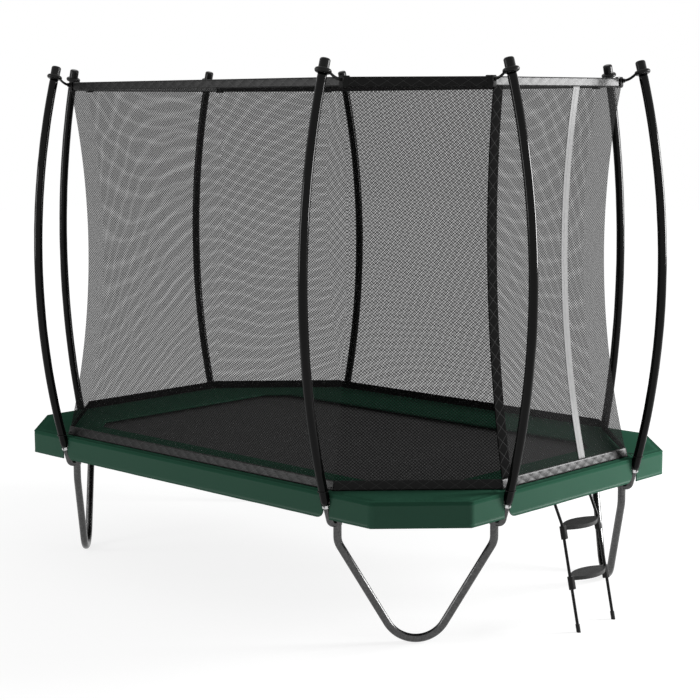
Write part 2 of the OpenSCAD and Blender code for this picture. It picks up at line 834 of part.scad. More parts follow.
// Draws a child at each spring of a side, with X inwards from the skirt's face.
// rail gives the distance to the frame there: more at a socket, at places in sockets.
function near_socket(s, at) = abs(abs(s) - at) < socket_l / 2 + spring_d / 2;
module along_side(turn, reach, middle, n)
    for (i = [0 : n - 1])
        rotate([0, 0, turn]) translate([middle + (i - (n - 1) / 2) * spring_pitch, reach, 0])
            rotate([0, 0, -90]) children();

function spring_count(l) = max(1, floor(l / spring_pitch));
long_count = spring_count(2 * bed_long(mat_in)[0]);
short_count = spring_count(2 * bed_short(mat_in)[1]);
corner_count = spring_count(norm(bed_long(mat_in) - bed_short(mat_in)) + spring_pitch / 2);
corner_middle = (half_l - half_w) / sqrt(2);

module spring(rail_at) {
    from = rail_at + hook_gap;
    to = mat_in - ring_depth - hook_gap;
    r = spring_d / 2;
    neck = hook_wire / 2;
    translate([0, 0, mat_z]) rotate([0, 90, 0]) rotate_extrude()
        polygon([[0, from], [neck, from], [neck, from + hook_l], [r, from + hook_l + r / 2],
                 [r, to - hook_l - r / 2], [neck, to - hook_l], [neck, to], [0, to]]);
}

module mat_ring()
    translate([0, 0, mat_z - ring_wire / 2]) linear_extrude(ring_wire)
        difference() {
            polygon([[mat_in - ring_depth, -ring_wire], [mat_in - ring_depth, ring_wire],
                     [mat_in - hook_gap, ring_w / 2], [mat_in - hook_gap, -ring_w / 2]]);
            polygon([[mat_in - ring_depth + 1.5 * ring_wire, 0],
                     [mat_in - hook_gap - ring_wire, ring_w / 2 - 1.5 * ring_wire],
                     [mat_in - hook_gap - ring_wire, 1.5 * ring_wire - ring_w / 2]]);
        }

rail_face = frame_inset + rail_r;
socket_face = frame_inset + socket_r;

module springs()
    color(ZINC) {
        for (half_turn = [0, 180]) {
            for (i = [0 : long_count - 1])
                let (s = (i - (long_count - 1) / 2) * spring_pitch)
                rotate([0, 0, half_turn]) translate([s, half_w, 0]) rotate([0, 0, -90])
                    spring(near_socket(s, pole_x) ? socket_face : rail_face);
            for (i = [0 : short_count - 1])
                let (s = (i - (short_count - 1) / 2) * spring_pitch)
                rotate([0, 0, half_turn]) translate([half_l, s, 0]) rotate([0, 0, 180])
                    spring(near_socket(s, pole_y) ? socket_face : rail_face);
        }
        all_quadrants() along_side(-45, corner_reach, corner_middle, corner_count) spring(rail_face);
    }

module mat_rings()
    color(ZINC) {
        for (half_turn = [0, 180])
            rotate([0, 0, half_turn]) {
                along_side(0, half_w, 0, long_count) mat_ring();
                along_side(-90, half_l, 0, short_count) mat_ring();
            }
        all_quadrants() along_side(-45, corner_reach, corner_middle, corner_count) mat_ring();
    }

// ---- Ladder: hangs on the entrance side's rail and leans out to the ground ----

stile_off = rail_r + strap_hook_gap + strap_hook_t + stile_r + 0.2;
rail_x = half_l - frame_inset;
foot_x = half_l + foot_out;
// Place of the stiles' lower line at a height, and the height of their upper bend
function stile_x(z) = foot_x - z * tan(lean);
shoulder_z = knee_z + (stile_x(knee_z) - rail_x - stile_off) / tan(top_lean);
stile_top_z = rail_z + stile_r;
stile_end = 4;

module stile(side)
    color(GLOSS_BLACK) translate([0, ladder_y + side * ladder_w / 2, 0]) {
        top_trim = bend_trim(stile_bend, top_lean);
        knee_trim = bend_trim(stile_bend, top_lean - lean);
        upper = (shoulder_z - knee_z) / cos(top_lean);
        translate([rail_x + stile_off, 0, stile_top_z]) rotate([90, 0, 0]) rotate([0, 0, -90])
            bent_tube([[stile_top_z - shoulder_z - top_trim, top_lean],
                       [upper - top_trim - knee_trim, lean - top_lean],
                       [knee_z / cos(lean) - knee_trim - stile_end, 0]], stile_bend, stile_r, stile_wall);
        translate([rail_x, 0, rail_z]) hook_strap();
    }

// Strap over the rail, with the block that welds it to the stile
module hook_strap() {
    inside = rail_r + strap_hook_gap;
    rotate([90, 0, 0]) rotate([0, 0, -25]) translate([0, 0, -strap_hook_w / 2])
        rotate_extrude(angle = 160) translate([inside, 0]) square([strap_hook_t, strap_hook_w]);
    difference() {
        translate([inside + strap_hook_t / 2, -stile_r / 2, -stile_r])
            cube([stile_off - stile_r + stile_wall / 2 - inside - strap_hook_t / 2, stile_r, 2 * stile_r]);
        rotate([90, 0, 0]) cylinder(h = 2 * stile_d, r = inside + strap_hook_t / 2, center = true);
    }
}

tread_half = ladder_w / 2 - clamp_d / 2 - fit_gap;

// Lens-shaped tread, cut off square where it meets the clamps
module tread(top)
    color(TREAD_GREY) translate([stile_x(top - tread_t / 2), ladder_y, top - tread_t]) {
        lens_r = arc_radius([0, -ladder_w / 2], [0, ladder_w / 2], tread_depth / 2);
        intersection() {
            linear_extrude(tread_t) intersection_for(s = [-1, 1])
                translate([s * (lens_r - tread_depth / 2), 0]) circle(lens_r, $fn = 180);
            translate([-tread_depth, -tread_half, 0]) cube([2 * tread_depth, 2 * tread_half, tread_t]);
        }
    }

// Frame on a stile's lower line at a height, with Z up along the stile
module on_stile(side, z)
    translate([stile_x(z), ladder_y + side * ladder_w / 2, z]) rotate([0, -lean, 0]) children();

module ladder_clamps()
    color(GLOSS_BLACK)
        for (top = [lower_tread, upper_tread], side = [-1, 1])
            on_stile(side, top) translate([0, 0, -clamp_h])
                linear_extrude(clamp_h) difference() {
                    union() {
                        circle(d = clamp_d);
                        translate([-clamp_d / 2, side < 0 ? 0 : -clamp_d / 2])
                            square([clamp_d, clamp_d / 2]);
                    }
                    circle(stile_r + fit_gap);
                }

module ladder_feet()
    color(GLOSS_BLACK)
        for (side = [-1, 1])
            difference() {
                on_stile(side, 0) translate([0, 0, -foot_d]) cylinder(h = foot_l + foot_d, d = foot_d);
                on_stile(side, 0) translate([0, 0, stile_end - fit_gap])
                    cylinder(h = foot_l, r = stile_r + fit_gap);
                translate([half_l, -half_w, -2 * foot_l]) cube([half_l, bed_w, 2 * foot_l]);
            }

long_rail(-1);  // rail_front
long_rail(1);  // rail_back
short_rail(-1);  // rail_left
short_rail(1);  // rail_right
corner_rail(-1, -1);  // corner_rail_front_left
corner_rail(1, -1);  // corner_rail_front_right
corner_rail(-1, 1);  // corner_rail_back_left
corner_rail(1, 1);  // corner_rail_back_right
frame_sockets();
pole_brackets();
leg_uppers(-1, -1);  // leg_uppers_front_left
leg_uppers(1, -1);  // leg_uppers_front_right
leg_uppers(-1, 1);  // leg_uppers_back_left
leg_uppers(1, 1);  // leg_uppers_back_right
leg_foot(-1, -1);  // leg_foot_front_left
leg_foot(1, -1);  // leg_foot_front_right
leg_foot(-1, 1);  // leg_foot_back_left
leg_foot(1, 1);  // leg_foot_back_right
pole_tubes();
pole_screws();
pole_caps();
long_pole(-1, -1);  // pole_front_left
long_pole(1, -1);  // pole_front_right
long_pole(-1, 1);  // pole_back_left
long_pole(1, 1);  // pole_back_right
short_pole(-1, -1);  // pole_left_front
short_pole(-1, 1);  // pole_left_back
short_pole(1, -1);  // pole_right_front
short_pole(1, 1);  // pole_right_back
long_pad(-1);  // pad_front
long_pad(1);  // pad_back
short_pad(-1);  // pad_left
short_pad(1);  // pad_right
corner_pad(-1, -1);  // corner_pad_front_left
corner_pad(1, -1);  // corner_pad_front_right
corner_pad(-1, 1);  // corner_pad_back_left
corner_pad(1, 1);  // corner_pad_back_right
net_long_panel(-1);  // net_front
net_long_panel(1);  // net_back
net_short_panel(-1);  // net_left
net_short_panel(1);  // net_right
net_corner_panel(-1, -1);  // net_corner_front_left
net_corner_panel(1, -1);  // net_corner_front_right
net_corner_panel(-1, 1);  // net_corner_back_left
net_corner_panel(1, 1);  // net_corner_back_right
net_top_band();
net_top_rod();
net_foot_band();
net_tapes();
net_straps();
mat();
mat_hem();
mat_rings();
springs();
stile(-1);  // ladder_stile_front
stile(1);  // ladder_stile_back
tread(lower_tread);  // ladder_tread_lower
tread(upper_tread);  // ladder_tread_upper
ladder_clamps();
ladder_feet();
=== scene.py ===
# %% [markdown]
# # A garden trampoline with a drawn-in safety net
#
# The steel frame, the legs, the pole tubes and the ladder come from the packed
# CAD model. This lesson adds what CAD does badly: the soft pads, the net, the
# woven mat, the coil springs, the webbing, and the finish of every surface.
# Everything is in metres, with X along the bed, Y across it and Z up from the
# ground, so each new piece is made where it belongs.

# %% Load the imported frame
import math

import bmesh
import bpy
from mathutils import Matrix, Vector


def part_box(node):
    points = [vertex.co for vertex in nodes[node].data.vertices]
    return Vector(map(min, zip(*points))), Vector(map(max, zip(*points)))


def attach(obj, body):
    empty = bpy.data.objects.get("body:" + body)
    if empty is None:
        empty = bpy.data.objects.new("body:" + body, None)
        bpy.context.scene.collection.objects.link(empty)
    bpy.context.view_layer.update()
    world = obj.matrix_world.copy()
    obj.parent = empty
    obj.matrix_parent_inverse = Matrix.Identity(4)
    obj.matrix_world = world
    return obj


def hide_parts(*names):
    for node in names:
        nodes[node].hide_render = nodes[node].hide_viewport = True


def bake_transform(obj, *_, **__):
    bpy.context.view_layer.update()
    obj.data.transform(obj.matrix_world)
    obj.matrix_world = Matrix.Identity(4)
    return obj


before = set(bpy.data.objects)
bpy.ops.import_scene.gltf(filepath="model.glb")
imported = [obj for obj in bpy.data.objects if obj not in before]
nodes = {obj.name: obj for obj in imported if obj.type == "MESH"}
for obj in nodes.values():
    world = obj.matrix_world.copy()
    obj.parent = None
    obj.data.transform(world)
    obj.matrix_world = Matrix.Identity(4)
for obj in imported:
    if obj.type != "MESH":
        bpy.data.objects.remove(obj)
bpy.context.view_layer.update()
bpy.ops.object.select_all(action="DESELECT")

# %% [markdown]
# ## Sizes
#
# These are the same sizes that the CAD model is drawn from. An inset is a
# distance inwards from the face of the pads' skirts, and a post is a place in
# plan that depends on the inset, such as a mitre between two sides.
# A piece made at the back, at the right or in the corner between them has
# mirror images, each with a name and the signs of its X and its Y.

# %% Sizes of the bed
HALF_L, HALF_W = 1.700, 1.165
CORNER_CUT = 0.346
POLE_X, POLE_Y = HALF_L - 0.644, HALF_W - 0.616
EDGE_SLOPE = math.tan(math.radians(22.5))
PAD_UNDER, SKIRT_FOOT = 0.760, 0.648
RAIL_Z = 0.7357
MAT_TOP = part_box("mat")[1].z
QUADRANTS = [(1, 1), (1, -1), (-1, -1), (-1, 1)]
CORNERS = ("corner_back_right", "corner_front_right", "corner_front_left", "corner_back_left")
MIRRORS = {
    "back": [("back", 1, 1), ("front", 1, -1)],
    "right": [("right", 1, 1), ("left", -1, 1)],
    "corner_back_right": [(name, *signs) for name, signs in zip(CORNERS, QUADRANTS)],
}


def spread(low, high, steps):
    """Evenly spaced values from one end to the other."""
    return [low + (high - low) * i / steps for i in range(steps + 1)]


def corner_posts(x, y, shift):
    """The two posts of a cut corner, on the long side and on the short side.

    shift tells how far an inset and a height move them along their sides."""
    return (
        lambda inset, z=0.0: (x - shift(inset, z), HALF_W - inset),
        lambda inset, z=0.0: (HALF_L - inset, y - shift(inset, z)),
    )


bed_long, bed_short = corner_posts(
    HALF_L - CORNER_CUT, HALF_W - CORNER_CUT, lambda inset, z: inset * EDGE_SLOPE
)
print("bed", 2 * HALF_L, "by", 2 * HALF_W, "m, poles at", POLE_X, POLE_Y)

# %% Sizes of the net
NET_X = (POLE_X + POLE_Y + HALF_L - HALF_W) / 2
NET_Y = NET_X - HALF_L + HALF_W
NET_FOOT_IN, NET_TOP_IN, NET_DRAW, BAND_T = 0.038, 0.128, 0.100, 0.020
NET_HEAD_IN = NET_TOP_IN - BAND_T / 2 + 0.002
NET_FOOT, NET_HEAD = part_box("net_front")[0].z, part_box("net_front")[1].z
BAND_FOOT, BAND_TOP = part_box("net_top_band")[0].z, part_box("net_top_band")[1].z


def drawn_in(inset, z):
    """Shift by the net's draw: what an inset is past the net's straight slope."""
    rise = (z - NET_FOOT) / (NET_HEAD - NET_FOOT)
    return EDGE_SLOPE * (inset - NET_FOOT_IN - (NET_HEAD_IN - NET_FOOT_IN) * rise)


net_long, net_short = corner_posts(NET_X, NET_Y, drawn_in)
ring_long, ring_short = corner_posts(
    NET_X, NET_Y, lambda inset, z: EDGE_SLOPE * (inset - NET_TOP_IN)
)
chord = Vector((NET_HEAD_IN - NET_FOOT_IN, NET_HEAD - NET_FOOT))
net_radius = (chord.length ** 2 / 4 + NET_DRAW ** 2) / (2 * NET_DRAW)
chord_side = Vector((-chord.y, chord.x)).normalized()
net_centre = (
    Vector((NET_FOOT_IN, NET_FOOT)) + chord / 2 + chord_side * (net_radius - NET_DRAW)
)


def net_inset(z):
    """How far inwards the net stands at a height."""
    return net_centre.x + math.sqrt(net_radius ** 2 - (z - net_centre.y) ** 2)


print("net inset at the foot, middle and top:",
      [round(net_inset(z), 3) for z in (NET_FOOT, 1.8, NET_HEAD)])

# %% [markdown]
# ## Camera
#
# The camera stands off the near corner of the bed, a little below the tops of
# the poles, with a long lens so that the uprights stay nearly upright. The
# net's holes are only a few pixels wide, so the denoiser is guided by the
# surfaces as they are, not by a smoothed copy that would wash the mesh away.
# Stray sparks, lamps mirrored from a pole onto the mat, are left out.

# %% Camera
LENS_PIXELS, FRAME_PIXELS = 1684.802, 700
YAW, PITCH, ROLL = 0.763729, 0.143765, -0.004478
STATION = (6.742, -6.927, 2.6602)
BRIGHTEST_BOUNCE = 2.0


def in_scene(thing):
    """Links an object to the scene."""
    bpy.context.scene.collection.objects.link(thing)
    return thing


lens = bpy.data.cameras.new("camera")
camera = in_scene(bpy.data.objects.new("camera", lens))
lens.sensor_width = 36
lens.lens = LENS_PIXELS * lens.sensor_width / FRAME_PIXELS
lens.clip_end = 200
ahead = Vector((
    -math.sin(YAW) * math.cos(PITCH), math.cos(YAW) * math.cos(PITCH), -math.sin(PITCH)
))
level = Vector((math.cos(YAW), math.sin(YAW), 0))
upright = level.cross(ahead)
right = math.cos(ROLL) * level + math.sin(ROLL) * upright
above = math.cos(ROLL) * upright - math.sin(ROLL) * level
turned = Matrix((right, above, -ahead)).transposed().to_4x4()
camera.matrix_world = Matrix.Translation(STATION) @ turned
bpy.context.scene.camera = camera
cycles = bpy.context.scene.cycles
cycles.denoising_prefilter = "NONE"
cycles.caustics_reflective = False
cycles.sample_clamp_indirect = BRIGHTEST_BOUNCE
print("lens", round(lens.lens, 1), "mm")

# %% [markdown]
# ## Shader maths
#
# A material is a graph of nodes. Wrapping one socket in a small class lets an
# expression such as 1 - mask * 0.5 add the Math nodes by itself. Any other
# node comes from the node method, which takes its type, its settings and the
# values or links of its sockets.

# %% A wrapped socket
class Wire:
    """One output socket of a shader, with arithmetic."""

    def __init__(self, tree, socket=None):
        self.tree, self.socket = tree, socket

    def node(self, kind, values=None, out=0, **settings):
        """Adds a node and returns the Wire of one of its outputs."""
        made = self.tree.nodes.new("ShaderNode" + kind)
        for key, value in settings.items():
            setattr(made, key, value)
        for key, value in (values or {}).items():
            self.feed(made.inputs[key], value)
        return Wire(self.tree, made.outputs[out])

    def feed(self, socket, value):
        """Links a Wire to a socket, or sets a plain value on it."""
        if isinstance(value, Wire):
            self.tree.links.new(value.socket, socket)
        else:
            socket.default_value = value

    def maths(self, operation, a, b=0.0):
        return self.node("Math", {0: a, 1: b}, operation=operation)

    def __rsub__(self, other):
        return self.maths("SUBTRACT", other, self)

    def clamp(self):
        return self.node("Clamp", {"Value": self})


def maths_method(operation):
    """A method that adds one Math node."""
    return lambda self, other=0.0: self.maths(operation, self, other)


for method, operation in (
    ("__add__", "ADD"), ("__sub__", "SUBTRACT"), ("__mul__", "MULTIPLY"),
    ("__truediv__", "DIVIDE"), ("__gt__", "GREATER_THAN"), ("__lt__", "LESS_THAN"),
    ("__abs__", "ABSOLUTE"), ("sine", "SINE"), ("fraction", "FRACT"),
):
    setattr(Wire, method, maths_method(operation))
print("sockets wrapped")

# %% [markdown]
# A few helpers cover what nearly every finish needs: a material with its
# shader, the place on the surface in metres, noise at a given scale, waves, a
# mix of two colours and a bump. Where a colour is a plain number, it is a grey.

# %% Helpers for materials
def new_finish(name):
    """A material, and a Wire to start its graph from."""
    material = bpy.data.materials.new(name)
    material.use_nodes = True
    return material, Wire(material.node_tree)


def dress(wire, **values):
    """Sets the shader's sockets: Base_Color=... sets Base Color."""
    inputs = wire.tree.nodes["Principled BSDF"].inputs
    for key, value in values.items():
        wire.feed(inputs[key.replace("_", " ")], value)


def axes(vector):
    """The X, Y and Z parts of a vector."""
    outs = vector.node("SeparateXYZ", {0: vector}).socket.node.outputs
    return [Wire(vector.tree, out) for out in outs]


def place(wire):
    """The place on the surface, in metres."""
    return wire.node("TexCoord", out="Object")


def cloth_map(wire):
    """The place along and across a piece of cloth, in metres."""
    return axes(wire.node("UVMap", uv_map="cloth"))[:2]


def noise(vector, scale, detail=2.0, rough=0.5, out=0):
    settings = {"Vector": vector, "Scale": scale, "Detail": detail, "Roughness": rough}
    return vector.node("TexNoise", settings, out)


def waves(line, pitch):
    """A sine along a line, with a pitch in metres."""
    return (line * (math.tau / pitch)).sine()


def grey(value):
    return (value, value, value, 1.0)


def blend(factor, *colours):
    """A mix of two colours, the second where the factor is 1."""
    a, b = (grey(colour) if isinstance(colour, float) else colour for colour in colours)
    return factor.node("Mix", {0: factor, 6: a, 7: b}, out=2, data_type="RGBA")


def bump(height, distance, strength):
    return height.node("Bump", {"Height": height, "Distance": distance, "Strength": strength})


print("helpers ready")

# %% [markdown]
# ## Finishes
#
# Galvanised tube is zinc over steel: metallic, with pale and dark crystals a
# few millimetres across and soft scuffs that change its roughness.

# %% Galvanised steel
galvanised, wire = new_finish("galvanised_steel")
spot = place(wire)
crystal = axes(wire.node("TexVoronoi", {"Vector": spot, "Scale": 130.0}, out="Color"))[0]
scuff = noise(spot, 14.0, 5.0, 0.6)
dress(
    wire,
    Base_Color=blend(crystal * 0.5 + scuff * 0.4, 0.05, 0.11),
    Roughness=scuff * 0.12 + crystal * 0.03 + 0.19,
    Metallic=0.92,
    Normal=bump(scuff, 0.0006, 0.12),
)
print(galvanised.name)

# %% [markdown]
# Four finishes are mottled in the same way: one noise varies the colour and
# the roughness, and the same noise or a finer grain gives the relief.
# Fasteners, rings and springs are bright zinc, smoother than the tube. The
# caps, the buckles and the ladder's clamps are moulded black plastic with a
# spark-eroded texture. The ladder is powder coated, with some orange peel, and
# its feet are matt rubber.

# %% Mottled finishes
def mottled(name, patches, shades, gloss, relief, grain=None, **constants):
    """A finish from the scale and detail of its noise, its two greys, the gain
    and base of its roughness, and the depth and strength of its relief."""
    material, wire = new_finish(name)
    spot = place(wire)
    mottle = noise(spot, *patches)
    dress(
        wire,
        Base_Color=blend(mottle, *shades),
        Roughness=mottle * gloss[0] + gloss[1],
        Normal=bump(noise(spot, *grain) if grain else mottle, *relief),
        **constants,
    )
    return material


zinc = mottled(
    "bright_zinc", patches=(60.0, 3.0), shades=(0.48, 0.66), gloss=(0.2, 0.18),
    relief=(0.0002, 0.3), Metallic=1.0,
)
cap_black = mottled(
    "moulded_black", patches=(22.0, 4.0), shades=(0.006, 0.014), gloss=(0.16, 0.2),
    relief=(0.0002, 0.25), grain=(900.0, 2.0), Specular_IOR_Level=0.14,
)
paint = mottled(
    "black_powder_coat", patches=(18.0, 4.0), shades=(0.004, 0.008), gloss=(0.15, 0.2),
    relief=(0.0003, 0.3), grain=(260.0, 2.0), Specular_IOR_Level=0.14,
)
rubber = mottled(
    "black_rubber", patches=(80.0, 4.0), shades=(0.010, 0.030), gloss=(0.15, 0.65),
    relief=(0.0006, 0.5), Specular_IOR_Level=0.2,
)
print(zinc.name, cap_black.name, paint.name, rubber.name)

# %% [markdown]
# A pole's sleeve is a foam tube in a glossy black film. The film is smooth,
# with slow ripples that wander along it and break up the highlights.

# %% Glossy black film
film, wire = new_finish("sleeve_film")
spot = place(wire)
stretched = wire.node("VectorMath", {0: spot, 1: (1.0, 1.0, 0.2)}, operation="MULTIPLY")
ripple = noise(stretched, 38.0, 3.0, 0.55)
pores = noise(spot, 420.0)
dress(
    wire,
    Base_Color=blend(ripple, 0.002, 0.004),
    Roughness=ripple * 0.08 + 0.07,
    Specular_IOR_Level=0.12,
    Normal=bump(ripple + pores * 0.02, 0.0012, 0.2),
)
print(film.name)

# %% [markdown]
# The pads are PVC-coated cloth: dark green, with the faint squares of the
# base cloth pressed through and dust that dulls it in patches. The skirts
# keep the coating's gloss; the tops, which are walked on, are rubbed dull.
# Stitches run along the hems, at known places across the pad, so this finish
# reads the piece's own UV map, which is in metres along and across the cloth.

# %% Green coated cloth
THREAD, STITCH, STITCH_W, SKIRT_FACE = 0.0016, 0.007, 0.0007, 0.112


def stitch_row(u, v, where):
    """1 on the dashes of a row of stitches that runs along the cloth."""
    return ((u / STITCH).fraction() < 0.62) * (abs(v - where) < STITCH_W)


vinyl, wire = new_finish("green_coated_cloth")
u, v = cloth_map(wire)
spot = place(wire)
threads = waves(u, THREAD) * waves(v, THREAD)
patches = noise(spot, 5.5, 4.0, 0.6)
fine = noise(spot, 380.0)
stitches = stitch_row(u, v, 0.012) + stitch_row(u, v, 0.106) + stitch_row(u, v, 0.494)
green = blend(patches, (0.022, 0.076, 0.047, 1), (0.029, 0.091, 0.058, 1))
dress(
    wire,
    Base_Color=blend(stitches, green, (0.034, 0.088, 0.062, 1)),
    Roughness=patches * 0.14 + 0.45,
    Specular_IOR_Level=0.0,
    Coat_Weight=(v < SKIRT_FACE) * (0.28 - patches * 0.1),
    Coat_Roughness=0.35,
    Normal=bump(threads * 0.3 + fine * 0.5 + stitches * 2.5, 0.0003, 0.25),
)
print(vinyl.name)

# %% [markdown]
# The net is knitted black polyester with diamond holes. Modelling each thread
# would take millions of faces, so the holes are cut by the material's alpha,
# from two sets of diagonal lines on the panel's UV map in metres. The yarn has
# soft edges and stray fibres cross the holes. Slow noise bends the lines a
# little, as knitting does.

# %% Knitted net
HOLE_W, HOLE_H, DRIFT = 0.0182, 0.0157, 0.008
YARN_FROM, KNOT_FROM, SHARPNESS, FIBRES = 0.80, 0.52, 5.0, 0.30


def nearness(line):
    """0 in the middle of a hole and 1 on the thread, for lines one unit apart."""
    return abs(line.fraction() - 0.5) * 2.0


def soft_step(line, level):
    """0 below a level and 1 above it, with a soft edge."""
    return ((line - level) * SHARPNESS + 0.5).clamp()


net_black, wire = new_finish("knitted_net")
u, v = cloth_map(wire)
drift = axes(noise(place(wire), 5.0, 1.0, out="Color"))
u, v = u + drift[0] * DRIFT, v + drift[1] * DRIFT
rising = nearness(u / HOLE_W + v / HOLE_H)
falling = nearness(u / HOLE_W - v / HOLE_H)
thread = wire.maths("MAXIMUM", rising, falling)
yarn, knot = soft_step(thread, YARN_FROM), soft_step(rising * falling, KNOT_FROM)
fuzz = noise(place(wire), 300.0)
dress(
    wire,
    Base_Color=blend(fuzz, 0.004, 0.010),
    Roughness=fuzz * 0.2 + 0.5,
    Specular_IOR_Level=0.03,
    Alpha=wire.maths("MAXIMUM", yarn, knot) * (1 - FIBRES) + FIBRES,
    Normal=bump(thread, 0.0008, 0.15),
)
print(net_black.name, "with holes of", HOLE_W, "by", HOLE_H, "m")

# %% [markdown]
# The bands round the net are quilted: a glossy woven cover stitched down in
# diamonds over a thin filling. The puffs are real geometry. The finish adds
# the threads of the cover and the stitches along the creases. The stitches
# are painted light grey, so they are also a painted highlight along the
# creases. The quilted tape at the entrance has the same cover, but matt.

# %% Quilted covers
QUILT_W, QUILT_H, CREASE_FROM = 0.078, 0.050, 0.478


def quilted(name, gloss, level):
    """A quilted cover, from its roughness and its shine."""
    cover, wire = new_finish(name)
    u, v = cloth_map(wire)
    ribs = waves(u, 0.0013) * waves(v, 0.0013)
    crease_up = abs((u / QUILT_W + v / QUILT_H).fraction() - 0.5)
    crease_down = abs((u / QUILT_W - v / QUILT_H).fraction() - 0.5)
    crease = wire.maths("MAXIMUM", crease_up, crease_down)
    # Stitches along the creases, painted light grey: real stitching, and also a painted highlight
    # along the creases.
    stitches_and_crease_highlight = (crease > CREASE_FROM) * ((v / 0.004).fraction() < 0.7)
    sheen = noise(place(wire), 24.0, 3.0)
    dress(
        wire,
        Base_Color=blend(stitches_and_crease_highlight, blend(sheen, 0.002, 0.005), 0.055),
        Roughness=sheen * 0.08 + gloss,
        Specular_IOR_Level=level,
        Normal=bump(ribs * 0.05 + stitches_and_crease_highlight * 0.5, 0.0004, 0.2),
    )
    return cover


quilt = quilted("quilted_cover", 0.30, 0.12)
tape_cover = quilted("quilted_tape_cover", 0.60, 0.01)
print(quilt.name, tape_cover.name)

# %% [markdown]
# The tape over the entrance's zip is a ribbon: fine ribs across it, two rows
# of stitches down its edges and a soft shine. Its light grey colour is a
# painted reflection, standing in for the tape's shine under the lamps.

# %% Zip tape, with a painted grey reflection
zip_tape_painted_shine, wire = new_finish("zip_tape_with_painted_shine")
u, v = cloth_map(wire)
weave = waves(v, 0.0016) * 0.7 + waves(u, 0.0011) * 0.3
wear_and_shine_mottle = noise(place(wire), 30.0, 4.0)
edge_rows = stitch_row(v, u, 0.003) + stitch_row(v, u, 0.051)
# The light grey base colour is a painted reflection of the tape's shine, mottled at random; the
# edge rows are darker thread.
dress(
    wire,
    Base_Color=blend(edge_rows, blend(wear_and_shine_mottle + weave * 0.1, 0.22, 0.31), 0.12),
    Roughness=wear_and_shine_mottle * 0.2 + 0.4,
    Specular_IOR_Level=0.2,
    Normal=bump(weave, 0.0002, 0.4),
)
print(zip_tape_painted_shine.name)

# %% [markdown]
# Webbing is a narrow black ribbon with ribs across it. The mat is woven from
# flat black polypropylene strands, laid on the diagonal of the bed, so it
# catches the light in small squares.

# %% Webbing and mat
webbing, wire = new_finish("black_webbing")
u, v = cloth_map(wire)
rib = waves(u, 0.0024) * 0.6 + waves(v, 0.0012) * 0.4
lint = noise(place(wire), 120.0, 3.0)
dress(
    wire,
    Base_Color=blend(rib * 0.3 + lint * 0.5, 0.005, 0.016),
    Roughness=lint * 0.2 + 0.42,
    Specular_IOR_Level=0.12,
    Normal=bump(rib, 0.0004, 0.6),
)

STRAND = 0.0042 * math.sqrt(2)
mat_weave, wire = new_finish("woven_mat")
x, y, _ = axes(place(wire))
warp, weft = (x + y) / STRAND, (x - y) / STRAND
over_under = wire.maths("FLOOR", warp) + wire.maths("FLOOR", weft)
odd = (over_under * 0.5).fraction() > 0.25
warp_round, weft_round = (1 - abs(line.fraction() - 0.5) * 1.6 for line in (warp, weft))
strand = odd * warp_round + (1 - odd) * weft_round
dusty = noise(place(wire), 3.0, 5.0, 0.65)
# The strands are painted lighter along their middles and darker at their edges: a painted
# highlight and shade across the weave. The dust is real.
dress(
    wire,
    Base_Color=blend(dusty * 0.5 + strand * 0.4, 0.036, 0.092),
    Roughness=0.66 - strand * 0.12 + dusty * 0.1,
    Specular_IOR_Level=0.05,
    Normal=bump(strand, 0.0009, 0.25),
)
print(webbing.name, mat_weave.name)

# %% [markdown]
# The ladder's treads are moulded grey plastic with a coarse non-slip grain.

# %% Treads
GRIP = 0.009
tread_grey, wire = new_finish("moulded_tread")
spot = place(wire)
x, y, _ = axes(spot)
grip = waves(y, GRIP) * waves(x, GRIP) > 0.15
scratch = noise(spot, 40.0, 5.0, 0.65)
dress(
    wire,
    Base_Color=blend(scratch, 0.020, 0.042),
    Roughness=scratch * 0.2 + 0.34,
    Specular_IOR_Level=0.2,
    Normal=bump(grip + scratch * 0.5, 0.0006, 0.6),
)
print(tread_grey.name)

# %% [markdown]
# ## Sheets by sweeping
#
# Pads, net, bands and hems all follow the bed's outline. Each has a section,
# a list of insets and heights, that is carried from post to post. Because a
# post depends on the inset, mitres come out exact. Each face gets a UV map in
# metres, measured along its own side, so the weave is square to every side.

# %% Build a mesh and sweep a section
def smoothed(piece):
    """The piece, with smooth shading."""
    for polygon in piece.data.polygons:
        polygon.use_smooth = True
    return piece


def new_piece(name, points, faces, corners, material):
    """A mesh object with a UV map named cloth, one corner list per face."""
    mesh = bpy.data.meshes.new(name)
    mesh.from_pydata(points, [], faces)
    layer = mesh.uv_layers.new(name="cloth")
    flat = [value for face in corners for corner in face for value in corner]
    layer.data.foreach_set("uv", flat)
    mesh.materials.append(material)
    return smoothed(in_scene(bpy.data.objects.new(name, mesh)))


def reworked(piece, *steps):
    """Runs steps on a mesh, then turns the faces of its shells outwards."""
    work = bmesh.new()
    work.from_mesh(piece.data)
    for step in steps:
        step(work)
    bmesh.ops.recalc_face_normals(work, faces=work.faces)
    work.to_mesh(piece.data)
    work.free()
    return piece


